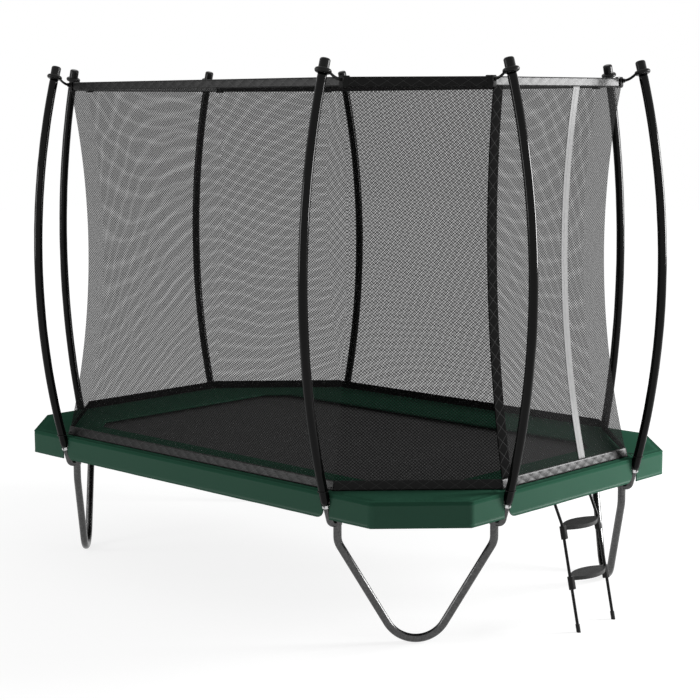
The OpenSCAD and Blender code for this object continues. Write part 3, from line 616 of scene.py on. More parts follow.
def sweep(name, posts, cuts, section, material, closed=False, ring=False, relief=None, caps=True):
    """Carries a section of (inset, height, side) from post to post.

    cuts lists the fractions, or the number of steps, between two posts. relief
    gives the puff of a quilt at a place along and up, towards the side."""
    section = [tuple(s) + (0,) * (3 - len(s)) for s in section]
    ends = posts[1:] + posts[:1] if closed else posts[1:]
    v_of = [0.0]
    for a, b in zip(section, section[1:] + section[:1]):
        v_of.append(v_of[-1] + math.dist(a[:2], b[:2]))
    points, faces, corners = [], [], []
    per_row, run = len(section), 0.0
    for post, end, steps in zip(posts, ends, cuts):
        origin = Vector(post(*section[0][:2]))
        reach = Vector(end(*section[0][:2])) - origin
        ahead = reach.normalized()
        span = []
        for t in steps if isinstance(steps, list) else spread(0, 1, steps):
            for inset, z, side in section:
                puff = relief(run + t * reach.length, z) if relief and side else 0.0
                start = Vector(post(inset - side * puff, z))
                stop = Vector(end(inset - side * puff, z))
                span.append((*start.lerp(stop, t), z))
        first = max(0, len(points) - per_row)
        points += span[per_row:] if points else span
        for low in range(0, len(span) - per_row, per_row):
            for i in range(per_row if ring else per_row - 1):
                j, high = (i + 1) % per_row, low + per_row
                faces.append(tuple(first + k for k in (low + i, low + j, high + j, high + i)))
                corner = []
                for index, v in ((low + i, i), (low + j, i + 1), (high + j, i + 1), (high + i, i)):
                    along = (Vector(span[index][:2]) - origin).dot(ahead)
                    corner.append((run + along, v_of[v]))
                corners.append(corner)
        run += reach.length
    if closed:
        last = len(points) - per_row
        points = points[:last]
        faces = [tuple(p % last for p in face) for face in faces]
    elif ring and caps:
        half = per_row // 2
        for row in (0, len(points) - per_row):
            for i in range(half - 1):
                j = per_row - 1 - i
                faces.append((row + i, row + i + 1, row + j - 1, row + j))
                low, high = v_of[i], v_of[i + 1]
                corners.append([(0.0, low), (0.0, high), (0.01, high), (0.01, low)])
    piece = new_piece(name, points, faces, corners, material)
    return reworked(piece) if ring else piece


print("sweep ready")

# %% [markdown]
# The bed has the same shape in all four quadrants, so most pieces are made
# once and mirrored. A mirror turns a mesh inside out, so its faces are
# flipped again.

# %% Mirror and post helpers
def copied(piece, name, matrix):
    """A copy with its own mesh, which is moved by a matrix."""
    twin = piece.copy()
    twin.data = piece.data.copy()
    twin.name = twin.data.name = name
    twin.data.transform(matrix)
    return in_scene(twin)


def mirrored(piece, name, sx, sy):
    """A copy in another quadrant."""
    twin = copied(piece, name, Matrix.Diagonal((sx, sy, 1, 1)))
    if sx * sy < 0:
        twin.data.flip_normals()
    return twin


def mirror_images(piece, label, where):
    """A piece and its mirror images, by their names without the label."""
    return {
        image: piece if image == where else mirrored(piece, label + image, sx, sy)
        for image, sx, sy in MIRRORS[where]
    }


def signed(post, sx, sy):
    """The same post in another quadrant."""
    def moved(inset, z):
        x, y = post(inset, z)
        return (sx * x, sy * y)
    return moved


def loop_posts(long_post, short_post):
    """The eight corners of an outline, in order round the bed."""
    posts = []
    for sx, sy in QUADRANTS:
        pair = [signed(long_post, sx, sy), signed(short_post, sx, sy)]
        posts += pair if sx * sy > 0 else pair[::-1]
    return posts


print("mirror helpers ready")

# %% [markdown]
# Some pieces start from a primitive that is cut or spun in edit mode, and some
# end with a modifier. Every piece is then handed over: the node it replaces is
# hidden, and the piece rides on a body.

# %% Editing and handing over
def select_only(piece):
    bpy.ops.object.select_all(action="DESELECT")
    piece.select_set(True)
    bpy.context.view_layer.objects.active = piece


def primitive(add, scale=(1, 1, 1), **settings):
    """Adds a primitive with its place, turn and scale applied to its mesh."""
    bpy.ops.object.select_all(action="DESELECT")
    add(**settings)
    piece = bpy.context.object
    piece.scale = scale
    bpy.ops.object.transform_apply()
    return piece


def edit(action="SELECT"):
    """Enters edit mode with everything or nothing selected."""
    bpy.ops.object.mode_set(mode="EDIT")
    bpy.ops.mesh.select_all(action=action)


def leave_edit():
    bpy.ops.object.mode_set(mode="OBJECT")


def add_modifier(piece, kind, **settings):
    """Adds a modifier and applies it."""
    select_only(piece)
    modifier = piece.modifiers.new(kind.lower(), kind)
    for key, value in settings.items():
        setattr(modifier, key, value)
    bpy.ops.object.modifier_apply(modifier=modifier.name)
    return piece


def hand_over(piece, node, body="frame"):
    """Hides the node a piece replaces and puts the piece on the body it rides on."""
    if node:
        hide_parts(node)
    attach(piece, body)


print("editing helpers ready")

# %% [markdown]
# ## Pads
#
# A pad is foam in coated cloth: a low crown over the springs, a piping along
# the outer edge, and a skirt that hangs over the frame. A box with rounded
# edges would have no give in it. The section is drawn point by point instead,
# from the skirt's hem up over the piping and the crown to the inner edge and
# back underneath. Its two halves have as many points, so the ends can close.

# %% Section of a pad
SKIRT_T, PIPING_R, PAD_EDGE_R, PAD_INNER = 0.005, 0.004, 0.008, 0.372
PAD_CROWN, PAD_FALL, CROWN_FROM = 0.0050, 0.012, 0.005


def crown_height(share):
    """Height of the pad's top at a share of the way to its inner edge."""
    return 0.7795 - PAD_FALL * share + PAD_CROWN * 4 * share * (1 - share)


def pad_underside(inset):
    flat_to = 0.104
    return PAD_UNDER - 0.008 * max(0.0, (inset - flat_to) / (PAD_INNER - flat_to))


outer, inner = [], []
for z in (0.648, 0.6505, 0.659, 0.660, 0.672, 0.686, 0.700, 0.712, 0.7185, 0.7225,
          0.734, 0.746, 0.756):
    hem = 0.0 if z > 0.6595 or z < 0.649 else -0.0006
    outer.append((hem, z))
    inner.append((SKIRT_T, z))
for i, point in enumerate(((0.0, 0.7625), (0.0014, 0.7665), (0.0010, 0.7685), (0.0, 0.7705))):
    outer.append(point)
    inner.append((SKIRT_T + 0.0004 * i, 0.7570 + 0.0006 * i))
for i in range(8):
    angle = math.radians(-41 + 161 * i / 7)
    outer.append((0.003 - PIPING_R * math.cos(angle), 0.776 + PIPING_R * math.sin(angle)))
    inner.append((0.0070 + 0.0004 * i, 0.7594 + 0.00008 * i))
CROWN_POINTS = range(len(outer) + 6, len(outer) + 28)
for inset in (0.0075, 0.011, 0.015, 0.019, 0.022, 0.0245, 0.0265, 0.0285, 0.032, 0.038, 0.048,
              0.062, 0.078, 0.096, 0.114, 0.132, 0.150, 0.168, 0.186, 0.204, 0.222, 0.240,
              0.258, 0.276, 0.294, 0.312, 0.328, 0.342, 0.354, 0.364, PAD_INNER):
    outer.append((inset, crown_height((inset - CROWN_FROM) / (PAD_INNER - CROWN_FROM))))
    inner.append((max(inset, 0.0105), pad_underside(inset)))
for i in range(1, 4):
    angle = math.radians(90 + 78 * i / 3)
    edge, rise = PAD_INNER - PAD_EDGE_R * math.cos(angle), PAD_EDGE_R * math.sin(angle)
    outer.append((edge, PAD_UNDER + rise))
    inner.append((edge, PAD_UNDER - rise))
pad_section = outer + inner[::-1]
print("points round the section:", len(pad_section))

# %% [markdown]
# At each pole two pads meet with a small gap, and both are cut round to let
# the pole through. The skirt stops short of the bracket below, with its lower
# corner rounded. So the end post of a pad stands back by an amount that
# depends on the place in the section.

# %% Ends of the pads
SLEEVE_FOOT, POLE_LEAN, SLEEVE_R = 0.722, math.radians(16), 0.0245
POLE_GAP, PAD_GAP, BRACKET_R, SKIRT_ROUND = 0.003, 0.004, 0.017, 0.045


def stand_back(inset, z, rounded):
    """How far a pad's end stays from the middle of its pole."""
    back = PAD_GAP / 2
    hole = SLEEVE_R + POLE_GAP
    axis = (z - SLEEVE_FOOT) * math.tan(POLE_LEAN)
    aside = inset + axis
    if z > SLEEVE_FOOT - POLE_GAP:
        if abs(aside) < hole:
            back = max(back, math.sqrt(hole ** 2 - aside ** 2))
    else:
        back = BRACKET_R + POLE_GAP
        up = z - SKIRT_FOOT
        if rounded and up < SKIRT_ROUND:
            back += SKIRT_ROUND - math.sqrt(SKIRT_ROUND ** 2 - (SKIRT_ROUND - up) ** 2)
    return back


def pad_end(on_long, side, rounded, stand=None):
    """Post at a pole of a long or a short side; side is +1 towards the corner."""
    def post(inset, z):
        back = side * (stand_back(inset, z, rounded) if stand is None else stand)
        if on_long:
            return (POLE_X + back, HALF_W - inset)
        return (HALF_L - inset, POLE_Y + back)
    return post


def end_pair(on_long, side, rounded):
    """The cut end at a pole, and the straight post beside it."""
    return [pad_end(on_long, side, rounded), pad_end(on_long, side, rounded, NEAR)]


NEAR = 0.085
END_CUTS = [0, 0.06, 0.16, 0.3, 0.46, 0.62, 0.8, 1]
print("hole round a pole:", SLEEVE_R + POLE_GAP)

# %% Sweep the three kinds of pad
long_pair, short_pair = end_pair(True, -1, True), end_pair(False, -1, True)
pad_plans = {
    "back": ([signed(post, -1, 1) for post in long_pair] + long_pair[::-1], [78]),
    "right": (short_pair + [signed(post, 1, -1) for post in short_pair[::-1]], [38]),
    "corner_back_right": (
        end_pair(True, 1, False) + [bed_long, bed_short] + end_pair(False, 1, False)[::-1],
        [9, 20, 8],
    ),
}
pads = {}
for where, (posts, steps) in pad_plans.items():
    cuts = [END_CUTS, *steps, [1 - t for t in END_CUTS[::-1]]]
    pads[where] = sweep("pad_cover_" + where, posts, cuts, pad_section, vinyl, ring=True)
    print(pads[where].name, len(pads[where].data.vertices), "points")

# %% [markdown]
# Foam pushes the cover up and the cloth wrinkles between its seams. Blender's
# cloth does that: the crown's points are free, all others are held, gravity
# is off and a little air pressure does the pushing. The cover is a shade too
# big for its foam, as a real one is. How far a point may move is then capped,
# so that the pad stays clear of the net above it.

# %% Fill the pads
PUFF_CAP, PUFF_FRAMES = 0.0040, 20
CLOTH = {
    "quality": 4, "mass": 0.4, "tension_stiffness": 12, "compression_stiffness": 12,
    "shear_stiffness": 6, "bending_stiffness": 2.5, "shrink_min": -0.02,
    "use_pressure": True, "uniform_pressure_force": 4.0,
}


def puff(piece):
    """Runs the cloth on a pad's crown and keeps the capped result."""
    per_row = len(pad_section)
    start = [v.co.copy() for v in piece.data.vertices]
    ends = (0, len(start) // per_row - 1)
    held = piece.vertex_groups.new(name="held")
    for v in range(len(start)):
        row, index = divmod(v, per_row)
        if index not in CROWN_POINTS or row in ends:
            held.add([v], 1.0, "REPLACE")
    cloth = piece.modifiers.new("cloth", "CLOTH")
    for key, value in CLOTH.items():
        setattr(cloth.settings, key, value)
    cloth.settings.vertex_group_mass = held.name
    cloth.settings.effector_weights.gravity = 0
    cloth.collision_settings.use_collision = False
    cloth.point_cache.frame_start, cloth.point_cache.frame_end = 1, PUFF_FRAMES
    for number in range(1, PUFF_FRAMES + 1):
        bpy.context.scene.frame_set(number)
    shaped = piece.evaluated_get(bpy.context.evaluated_depsgraph_get()).data
    moved = [v.co.copy() for v in shaped.vertices]
    piece.modifiers.remove(cloth)
    piece.vertex_groups.remove(held)
    most = 0.0
    for v, a, b in zip(piece.data.vertices, start, moved):
        step = b - a
        most = max(most, step.length)
        if step.length > PUFF_CAP:
            step *= PUFF_CAP / step.length
        v.co = a + step
    bpy.context.scene.frame_set(1)
    print(piece.name, "moved by up to", round(most * 1000, 1), "mm before the cap")


for pad in pads.values():
    puff(pad)

# %% [markdown]
# A hanging skirt is never quite flat. Its face is moved in and out by about a
# millimetre in slow waves that grow towards the hem, with different waves on
# each pad. In front of the ladder it only moves outwards, clear of the stiles.
# Then the pads are mirrored to the other quadrants.

# %% Slack in the skirts, and the other pads
SLACK, SLACK_TO, SLACK_OVER = 0.0009, 0.757, 0.1
LADDER_PUSH, LADDER_HALF, LADDER_FADE, FACE_DEPTH = 1.9, 0.5, 0.2, 0.02


def slacken(piece, seed):
    """Moves the skirt's points in and out in slow waves."""
    for v in piece.data.vertices:
        x, y, z = v.co
        if z > SLACK_TO - 0.002:
            continue
        if abs(y) > HALF_W - FACE_DEPTH:
            normal = Vector((0, math.copysign(1, y), 0))
        elif abs(x) > HALF_L - FACE_DEPTH:
            normal = Vector((math.copysign(1, x), 0, 0))
        else:
            continue
        along = x - y + seed
        wave = math.sin(along * 9.1) + 0.6 * math.sin(along * 21.7 + seed)
        wave += 0.3 * math.sin(along * 47)
        if x > HALF_L - FACE_DEPTH:
            wave += LADDER_PUSH * min(1.0, max(0.0, (LADDER_HALF - abs(y)) / LADDER_FADE))
        hang = min(1.0, (SLACK_TO - z) / SLACK_OVER)
        v.co = v.co + normal * (wave * SLACK * hang)


number = 0
for where, base in pads.items():
    for image, pad in mirror_images(base, "pad_cover_", where).items():
        slacken(pad, 1.7 * number + 0.4)
        corner = "corner" in image
        node = image.replace("corner_", "corner_pad_") if corner else "pad_" + image
        hand_over(pad, node)
        number += 1
print("pads:", number)

# %% [markdown]
# ## Net
#
# Eight panels hang from the top band and are drawn in at their middle. Each
# is one curved sheet without thickness, made by sweeping the net's arc from
# corner to corner.

# %% Net panels
NET_ROWS = 44
net_section = [(net_inset(z) + 0.001, z) for z in spread(NET_FOOT, NET_HEAD, NET_ROWS)]
panel_plans = {
    "back": ([signed(net_long, -1, 1), net_long], 44),
    "right": ([net_short, signed(net_short, 1, -1)], 24),
    "corner_back_right": ([net_long, net_short], 18),
}
for where, (posts, steps) in panel_plans.items():
    base = sweep("net_panel_" + where, posts, [steps], net_section, net_black)
    for image, panel in mirror_images(base, "net_panel_", where).items():
        hand_over(panel, "net_" + image)
        places = zip(*(point.co for point in panel.data.vertices))
        wide, deep, _ = [max(line) - min(line) for line in places]
        width = math.hypot(wide, deep) if "corner" in image else max(wide, deep)

# %% [markdown]
# ## Quilted bands and tapes
#
# A quilt's puff is highest in the middle of a diamond and nothing along its
# creases. The product of two cosines on the diagonals gives just that, and
# its square root makes the creases sharp. The sweep moves the faces of the
# band out by it.

# %% Puff of the quilt
BAND_PUFF, TAPE_PUFF = 0.0011, 0.0014


def diamond(depth, a, b, to_edge, fade):
    """The puff at a place on two diagonals, nothing at the edge of the strip."""
    edge = min(1.0, max(0.0, to_edge / fade))
    return depth * edge * math.sqrt(abs(math.cos(math.pi * a) * math.cos(math.pi * b)))


def diamonds(foot, height):
    """The puff of a quilt whose diamonds stand on the foot of its band."""
    def relief(along, z):
        up, across = (z - foot) / QUILT_H - 0.5, along / QUILT_W
        to_edge = height / 2 - abs(z - foot - height / 2)
        return diamond(BAND_PUFF, across + up, across - up, to_edge, 0.006)
    return relief


def level_map(piece, foot, tall=1.0, u_of=None):
    """Makes V the height above a foot, so that the stitches meet the creases."""
    layer = piece.data.uv_layers["cloth"].data
    for loop in piece.data.loops:
        point = piece.data.vertices[loop.vertex_index].co
        u = u_of(point) if u_of else layer[loop.index].uv.x
        layer[loop.index].uv = (u, (point.z - foot) * tall)


def quilted_band(name, inset, posts, section, foot, height):
    """A closed band with its diamonds and its stitches, handed over."""
    ends = posts[1:] + posts[:1]
    lengths = [math.dist(a(inset, 0), b(inset, 0)) for a, b in zip(posts, ends)]
    cuts = [max(2, round(length / (QUILT_W / 10))) for length in lengths]
    band = sweep(name, posts, cuts, section, quilt, closed=True, ring=True,
                 relief=diamonds(foot, height))
    level_map(band, foot)
    hand_over(band, "net_" + name)
    print(band.name, len(band.data.polygons), "faces")


print("diamonds", QUILT_W, "by", QUILT_H)

# %% Top band
band_height = BAND_TOP - BAND_FOOT
band_section = []
for side in (1, -1):
    face, roof = NET_TOP_IN - side * (BAND_T / 2 - 0.0016), BAND_TOP if side > 0 else BAND_FOOT
    heights = spread(BAND_FOOT + 0.002, BAND_TOP - 0.002, 10)
    band_section += [(face, z, side) for z in heights[::side]]
    band_section += [(NET_TOP_IN + shift * side, roof) for shift in (-0.0055, 0, 0.0055)]
quilted_band("top_band", NET_TOP_IN, loop_posts(ring_long, ring_short), band_section,
             BAND_FOOT, band_height)

# %% [markdown]
# The foot band and the two tapes at the entrance are thinner: a quilted strip
# on the outside of the net. Their section follows the net's arc, a fraction
# of a millimetre off it.

# %% Foot band
FOOT_BAND_H, OFF_NET, ROLLED_EDGE = 0.050, 0.0004, 0.35


def strip_section(foot, head, rows, thick):
    """Outer face up, then inner face down, along the net's arc."""
    heights = spread(foot, head, rows)
    front = []
    for z in heights:
        at_edge = z in (heights[0], heights[-1])
        depth = thick * (ROLLED_EDGE if at_edge else 1)
        front.append((net_inset(z) - OFF_NET - depth, z, 0 if at_edge else 1))
    return front + [(net_inset(z) - OFF_NET, z) for z in heights[::-1]]


quilted_band("foot_band", NET_FOOT_IN, loop_posts(net_long, net_short),
             strip_section(NET_FOOT, NET_FOOT + FOOT_BAND_H, 10, 0.0024),
             NET_FOOT, FOOT_BAND_H)

# %% Entrance tapes
CORNER_TAPE_W, ZIP_TAPE_W, ZIP_TAPE_Y, TAPE_QUILT_H = 0.076, 0.054, 0.136, 0.070
ZIP_RIDGE, ZIP_RIDGE_HALF = 0.0012, 0.004
ZIP_CUTS = [0, 0.06, 0.2, 0.35, 0.44, 0.5, 0.56, 0.65, 0.8, 0.94, 1]
tape_foot, tape_head = NET_FOOT + FOOT_BAND_H + 0.0003, BAND_FOOT - 0.0003
tape_rows = round((tape_head - tape_foot) / (QUILT_H / 6))


def tape_relief(along, z):
    """Diamonds as wide as the tape, standing on their points."""
    up, across = (z - tape_foot) / TAPE_QUILT_H, along / QUILT_W - 0.5
    to_edge = min(along, CORNER_TAPE_W - along)
    return diamond(TAPE_PUFF, across + up, across - up, to_edge, 0.005)


def zip_relief(along, z):
    """A low ridge over the zip, in the middle of its tape."""
    return ZIP_RIDGE * max(0.0, 1 - abs(along - ZIP_TAPE_W / 2) / ZIP_RIDGE_HALF)


def corner_tape(side):
    """The net's entrance corner, moved along the panel."""
    def post(inset, z):
        x, y = net_short(inset, z)
        return (x, side - y)
    return post


def straight_tape(side):
    """A straight edge of the zip's tape; side is +1 or -1."""
    return lambda inset, z: (HALF_L - inset, ZIP_TAPE_Y + side * ZIP_TAPE_W / 2)


tape_section = strip_section(tape_foot, tape_head, tape_rows, 0.0022)
entrance_tape = sweep(
    "entrance_quilted_tape", [corner_tape(0.0005), corner_tape(CORNER_TAPE_W)],
    [14], tape_section, tape_cover, ring=True, relief=tape_relief,
)
level_map(entrance_tape, tape_foot, QUILT_H / TAPE_QUILT_H,
          lambda p: p.y + net_short(HALF_L - p.x, p.z)[1])
closing_tape = sweep(
    "entrance_closing_tape", [straight_tape(-1), straight_tape(1)],
    [ZIP_CUTS], tape_section, zip_tape_painted_shine, ring=True, relief=zip_relief,
)
for tape in (entrance_tape, closing_tape):
    hand_over(tape, "net_tapes")
    print(tape.name, len(tape.data.polygons), "faces")

# %% [markdown]
# ## Pole sleeves
#
# Each bowed pole wears a foam sleeve. A circle spun about the far-off centre
# of the bow gives the bent tube in one operation. The ends are drawn in where
# the film is folded over, and slow noise makes the foam feel soft. The pole
# is made at one place and then turned to its eight places.

# %% One sleeve
POLE_RISE = 2.106
arc_radius = POLE_RISE / 2 / math.sin(POLE_LEAN)
arc_bow = arc_radius * (1 - math.cos(POLE_LEAN))
arc_middle = Vector((arc_bow - arc_radius, 0, SLEEVE_FOOT + POLE_RISE / 2))


def on_pole(angle):
    """The pole's centreline at an angle, with X outwards from the skirt."""
    return arc_middle + arc_radius * Vector((math.cos(angle), 0, math.sin(angle)))


SLEEVE_TO = POLE_LEAN - 0.0129 / arc_radius
sleeve = primitive(
    bpy.ops.mesh.primitive_circle_add, vertices=28, radius=SLEEVE_R - 0.0006,
    location=on_pole(-POLE_LEAN), rotation=(0, POLE_LEAN, 0),
)
edit()
bpy.ops.mesh.spin(steps=110, angle=SLEEVE_TO + POLE_LEAN, center=arc_middle, axis=(0, 1, 0))
leave_edit()
print("sleeve box", [round(v, 3) for v in sleeve.dimensions])

# %% Fold the ends in and soften the foam
def edge_rings(piece):
    """The points on the open ends of a tube."""
    work = bmesh.new()
    work.from_mesh(piece.data)
    found = {v.index for v in work.verts if v.is_boundary}
    work.free()
    return found


DRAWN_TO, FOLDED_TO, NEAR_END = 0.97, 0.80, 0.04
select_only(sleeve)
for end_angle in (-POLE_LEAN, SLEEVE_TO):
    middle = on_pole(end_angle)
    for size in (DRAWN_TO, FOLDED_TO):
        edit("DESELECT")
        bpy.ops.mesh.select_mode(type="VERT")
        leave_edit()
        for index in edge_rings(sleeve):
            point = sleeve.data.vertices[index]
            point.select = (point.co - middle).length < NEAR_END
        bpy.ops.object.mode_set(mode="EDIT")
        if size == FOLDED_TO:
            bpy.ops.mesh.extrude_region_move()
        bpy.ops.transform.resize(value=(size, size, size), center_override=middle)
        leave_edit()
reworked(sleeve, lambda work: bmesh.ops.remove_doubles(work, verts=work.verts, dist=0.00001))
ripples = bpy.data.textures.new("foam", "CLOUDS")
ripples.noise_scale = 0.09
add_modifier(sleeve, "DISPLACE", texture=ripples, texture_coords="LOCAL", strength=0.0016,
             mid_level=0.5)
smoothed(sleeve).data.materials.append(film)
print("sleeve faces", len(sleeve.data.polygons))

# %% Eight sleeves
def place_name(on_long, sx, sy):
    """front_left on a long side, left_front on a short one."""
    words = ["back" if sy > 0 else "front", "right" if sx > 0 else "left"]
    return "_".join(words if on_long else words[::-1])


def pole_places():
    """Name and matrix of each pole: X outwards from the skirt, at its foot."""
    for sx, sy in QUADRANTS:
        for on_long, foot, turn in (
            (True, (sx * POLE_X, sy * HALF_W, 0), math.pi / 2 * sy),
            (False, (sx * HALF_L, sy * POLE_Y, 0), math.pi / 2 * (1 - sx)),
        ):
            matrix = Matrix.Translation(foot) @ Matrix.Rotation(turn, 4, "Z")
            yield place_name(on_long, sx, sy), matrix


for where, matrix in pole_places():
    made = copied(sleeve, "pole_sleeve_" + where, matrix)
    hand_over(made, "pole_" + where)
bpy.data.objects.remove(sleeve)
print("sleeves placed")

# %% [markdown]
# ## Straps
#
# The top band hangs on eight straps. Each is a flat ribbon that sags a little
# between the pole's collar and the band's corner, where a loop of webbing
# wraps the band and a small buckle takes the strap.

# %% Ribbons along a path
SIDES = 12


def ribbon(name, path, across, width, thick, material):
    """A flat strap with rounded edges: path is its middle, across its width."""
    shape = []
    for i in range(SIDES):
        c, s = math.cos(math.tau * i / SIDES), math.sin(math.tau * i / SIDES)
        shape.append((math.copysign(min(1, abs(1.25 * c)), c) * width / 2, s * thick / 2))
    points, faces, corners = [], [], []
    run = 0.0
    for k, p in enumerate(path):
        ahead = (path[min(k + 1, len(path) - 1)] - path[max(k - 1, 0)]).normalized()
        side = (across - across.dot(ahead) * ahead).normalized()
        out = ahead.cross(side)
        points += [p + side * a + out * b for a, b in shape]
        if k:
            step = (p - path[k - 1]).length
            low = (k - 1) * SIDES
            for i in range(SIDES):
                j = (i + 1) % SIDES
                faces.append((low + i, low + j, low + SIDES + j, low + SIDES + i))
                va, vb = shape[i][0], shape[j][0]
                corners.append([(run, va), (run, vb), (run + step, vb), (run + step, va)])
            run += step
    last = (len(path) - 1) * SIDES
    for ends in (range(SIDES - 1, -1, -1), range(last, last + SIDES)):
        faces.append(tuple(ends))
        corners.append([(0.0, 0.0)] * SIDES)
    return reworked(new_piece(name, points, faces, corners, material))


COLLAR_R, STRAP_H, STRAP_T, STRAP_SAG = 0.042, 0.014, 0.003, 0.009
POLE_END = SLEEVE_FOOT + POLE_RISE


def strap_path(pole, corner):
    """From the collar to the band's corner, with a sag."""
    way = Vector((*corner, 0)) - Vector((*pole, 0))
    reach = way.length
    way.normalize()
    collar_z = POLE_END - COLLAR_R / 2 * math.sin(POLE_LEAN)
    start = Vector((*pole, collar_z)) + way * (COLLAR_R - 0.006)
    stop = Vector((*pole, BAND_TOP - STRAP_H)) + way * (reach - 0.004)
    path = []
    for i in range(15):
        t = i / 14
        path.append(start.lerp(stop, t) - Vector((0, 0, STRAP_SAG * 4 * t * (1 - t))))
    return path


print("strap length", round(math.dist((POLE_X, HALF_W), ring_long(NET_TOP_IN)), 3))

# %% The wrap and the buckle
CLIP_R, CLIP_T, WRAP_GROW = 0.024, 0.0025, 0.0034


def wrap_posts(corner, before, after):
    """Three posts of a short sweep over a corner of the net."""
    def towards(far):
        def post(inset, z):
            here, there = Vector(corner(inset, z)), Vector(far(inset, z))
            return here + (there - here).normalized() * CLIP_R
        return post
    return [towards(before), lambda inset, z: Vector(corner(inset, z)), towards(after)]


wrap_section = [
    (NET_TOP_IN - inset * (BAND_T + 2 * WRAP_GROW),
     (BAND_FOOT + BAND_TOP) / 2 + z * (band_height + 2 * WRAP_GROW))
    for inset, z in ((0.5, -0.35), (0.5, 0.35), (0.35, 0.5), (-0.35, 0.5),
                     (-0.5, 0.35), (-0.5, -0.35), (-0.35, -0.5), (0.35, -0.5))
]


def moulded_block(name, size, bevel, material):
    """A moulded block: a cube cut to size, recessed and bevelled."""
    piece = primitive(bpy.ops.mesh.primitive_cube_add, scale=size, size=1)
    piece.name = piece.data.name = name
    edit("DESELECT")
    bpy.ops.mesh.select_mode(type="FACE")
    leave_edit()
    for polygon in piece.data.polygons:
        polygon.select = polygon.normal.x > 0.9
    bpy.ops.object.mode_set(mode="EDIT")
    bpy.ops.mesh.inset(thickness=min(size) * 0.28)
    bpy.ops.mesh.extrude_region_move(TRANSFORM_OT_translate={"value": (-size[0] * 0.4, 0, 0)})
    leave_edit()
    add_modifier(piece, "BEVEL", width=bevel, segments=3, limit_method="ANGLE")
    smoothed(piece)
    bpy.ops.object.shade_smooth_by_angle(angle=math.radians(40))
    piece.data.materials.append(material)
    return piece


buckle = moulded_block("buckle", (0.009, 0.018, 0.022), 0.0014, cap_black)
print("buckle faces", len(buckle.data.polygons))

# %% Straps, wraps and buckles in all quadrants
BUCKLE_BACK = 0.008
band_out = NET_TOP_IN - BAND_T / 2
strap_total = 0
for on_long, pole, corner, before, after in (
    (True, (POLE_X, HALF_W), ring_long, signed(ring_long, -1, 1), ring_short),
    (False, (HALF_L, POLE_Y), ring_short, ring_long, signed(ring_short, 1, -1)),
):
    strap = ribbon("strap", strap_path(pole, corner(band_out)), Vector((0, 0, 1)),
                   STRAP_H, STRAP_T, webbing)
    wrap = sweep("wrap", wrap_posts(corner, before, after), [[0, 0.4, 0.8, 1], [0, 0.2, 0.6, 1]],
                 wrap_section, webbing, ring=True, caps=False)
    add_modifier(wrap, "SOLIDIFY", thickness=CLIP_T, offset=1)
    add_modifier(wrap, "BEVEL", width=0.0007, segments=2, limit_method="ANGLE")
    way = Vector(corner(band_out)) - Vector(pole)
    seat = Vector((*corner(band_out), BAND_TOP - STRAP_H))
    seat -= Vector((*way.normalized(), 0)) * BUCKLE_BACK
    turn = Matrix.Translation(seat) @ Matrix.Rotation(math.atan2(-way.y, -way.x), 4, "Z")
    block = copied(buckle, "block", turn)
    for base, label in ((strap, "net_strap_"), (wrap, "net_wrap_"), (block, "net_buckle_")):
        for sx, sy in QUADRANTS:
            made = mirrored(base, label + place_name(on_long, sx, sy), sx, sy)
            hand_over(made, "net_straps")
            strap_total += 1
        bpy.data.objects.remove(base)
bpy.data.objects.remove(buckle)
print(strap_total, "strap pieces")

# %% [markdown]
# ## Mat
#
# The mat is one woven sheet with cut corners. A grid is bisected four times
# to take the corners off, which keeps the cells square, and it sags by a few
# millimetres under its own weight. Its edge is doubled by a webbing hem.

# %% Woven mat
MAT_IN, HEM_W, MAT_SAG = 0.270, 0.050, 0.004
mat_l, mat_w = 2 * (HALF_L - MAT_IN), 2 * (HALF_W - MAT_IN)
mat_cut = CORNER_CUT - MAT_IN * (1 - EDGE_SLOPE)
mat = primitive(
    bpy.ops.mesh.primitive_grid_add, scale=(mat_l, mat_w, 1), x_subdivisions=60,
    y_subdivisions=38, size=1, location=(0, 0, MAT_TOP - 0.001),
)
mat.name = mat.data.name = "woven_mat"
for sx, sy in QUADRANTS:
    edit()
    bpy.ops.mesh.bisect(
        plane_co=(sx * (mat_l / 2 - mat_cut), sy * mat_w / 2, MAT_TOP),
        plane_no=(sx, sy, 0), clear_outer=True,
    )
    leave_edit()
for point in mat.data.vertices:
    x, y = abs(point.co.x), abs(point.co.y)
    edge = max(2 * x / mat_l, 2 * y / mat_w, (x + y) / ((mat_l + mat_w) / 2 - mat_cut))
    point.co.z -= MAT_SAG * (1 - edge ** 2)
smoothed(mat).data.materials.append(mat_weave)
hand_over(mat, "mat", body="mat")
print("mat", round(mat_l, 3), "by", round(mat_w, 3), "m, corners cut by", round(mat_cut, 3))

# %% Webbing hem
hem_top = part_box("mat_hem")[1].z + 0.0048
hem_section = [
    (MAT_IN + inset, hem_top - fall)
    for inset, fall in ((-0.0005, 0), (-0.0005, 0.0074), (HEM_W, 0.0074), (HEM_W, 0.0050),
                        (0.004, 0.0050), (0.004, 0))
]
hem = sweep("mat_hem_webbing", loop_posts(bed_long, bed_short), [70, 12, 40, 12] * 2,
            hem_section, webbing, closed=True, ring=True)
add_modifier(hem, "BEVEL", width=0.0006, segments=2, limit_method="ANGLE")
hand_over(hem, "mat_hem", body="mat")
print(hem.name, len(hem.data.polygons), "faces")
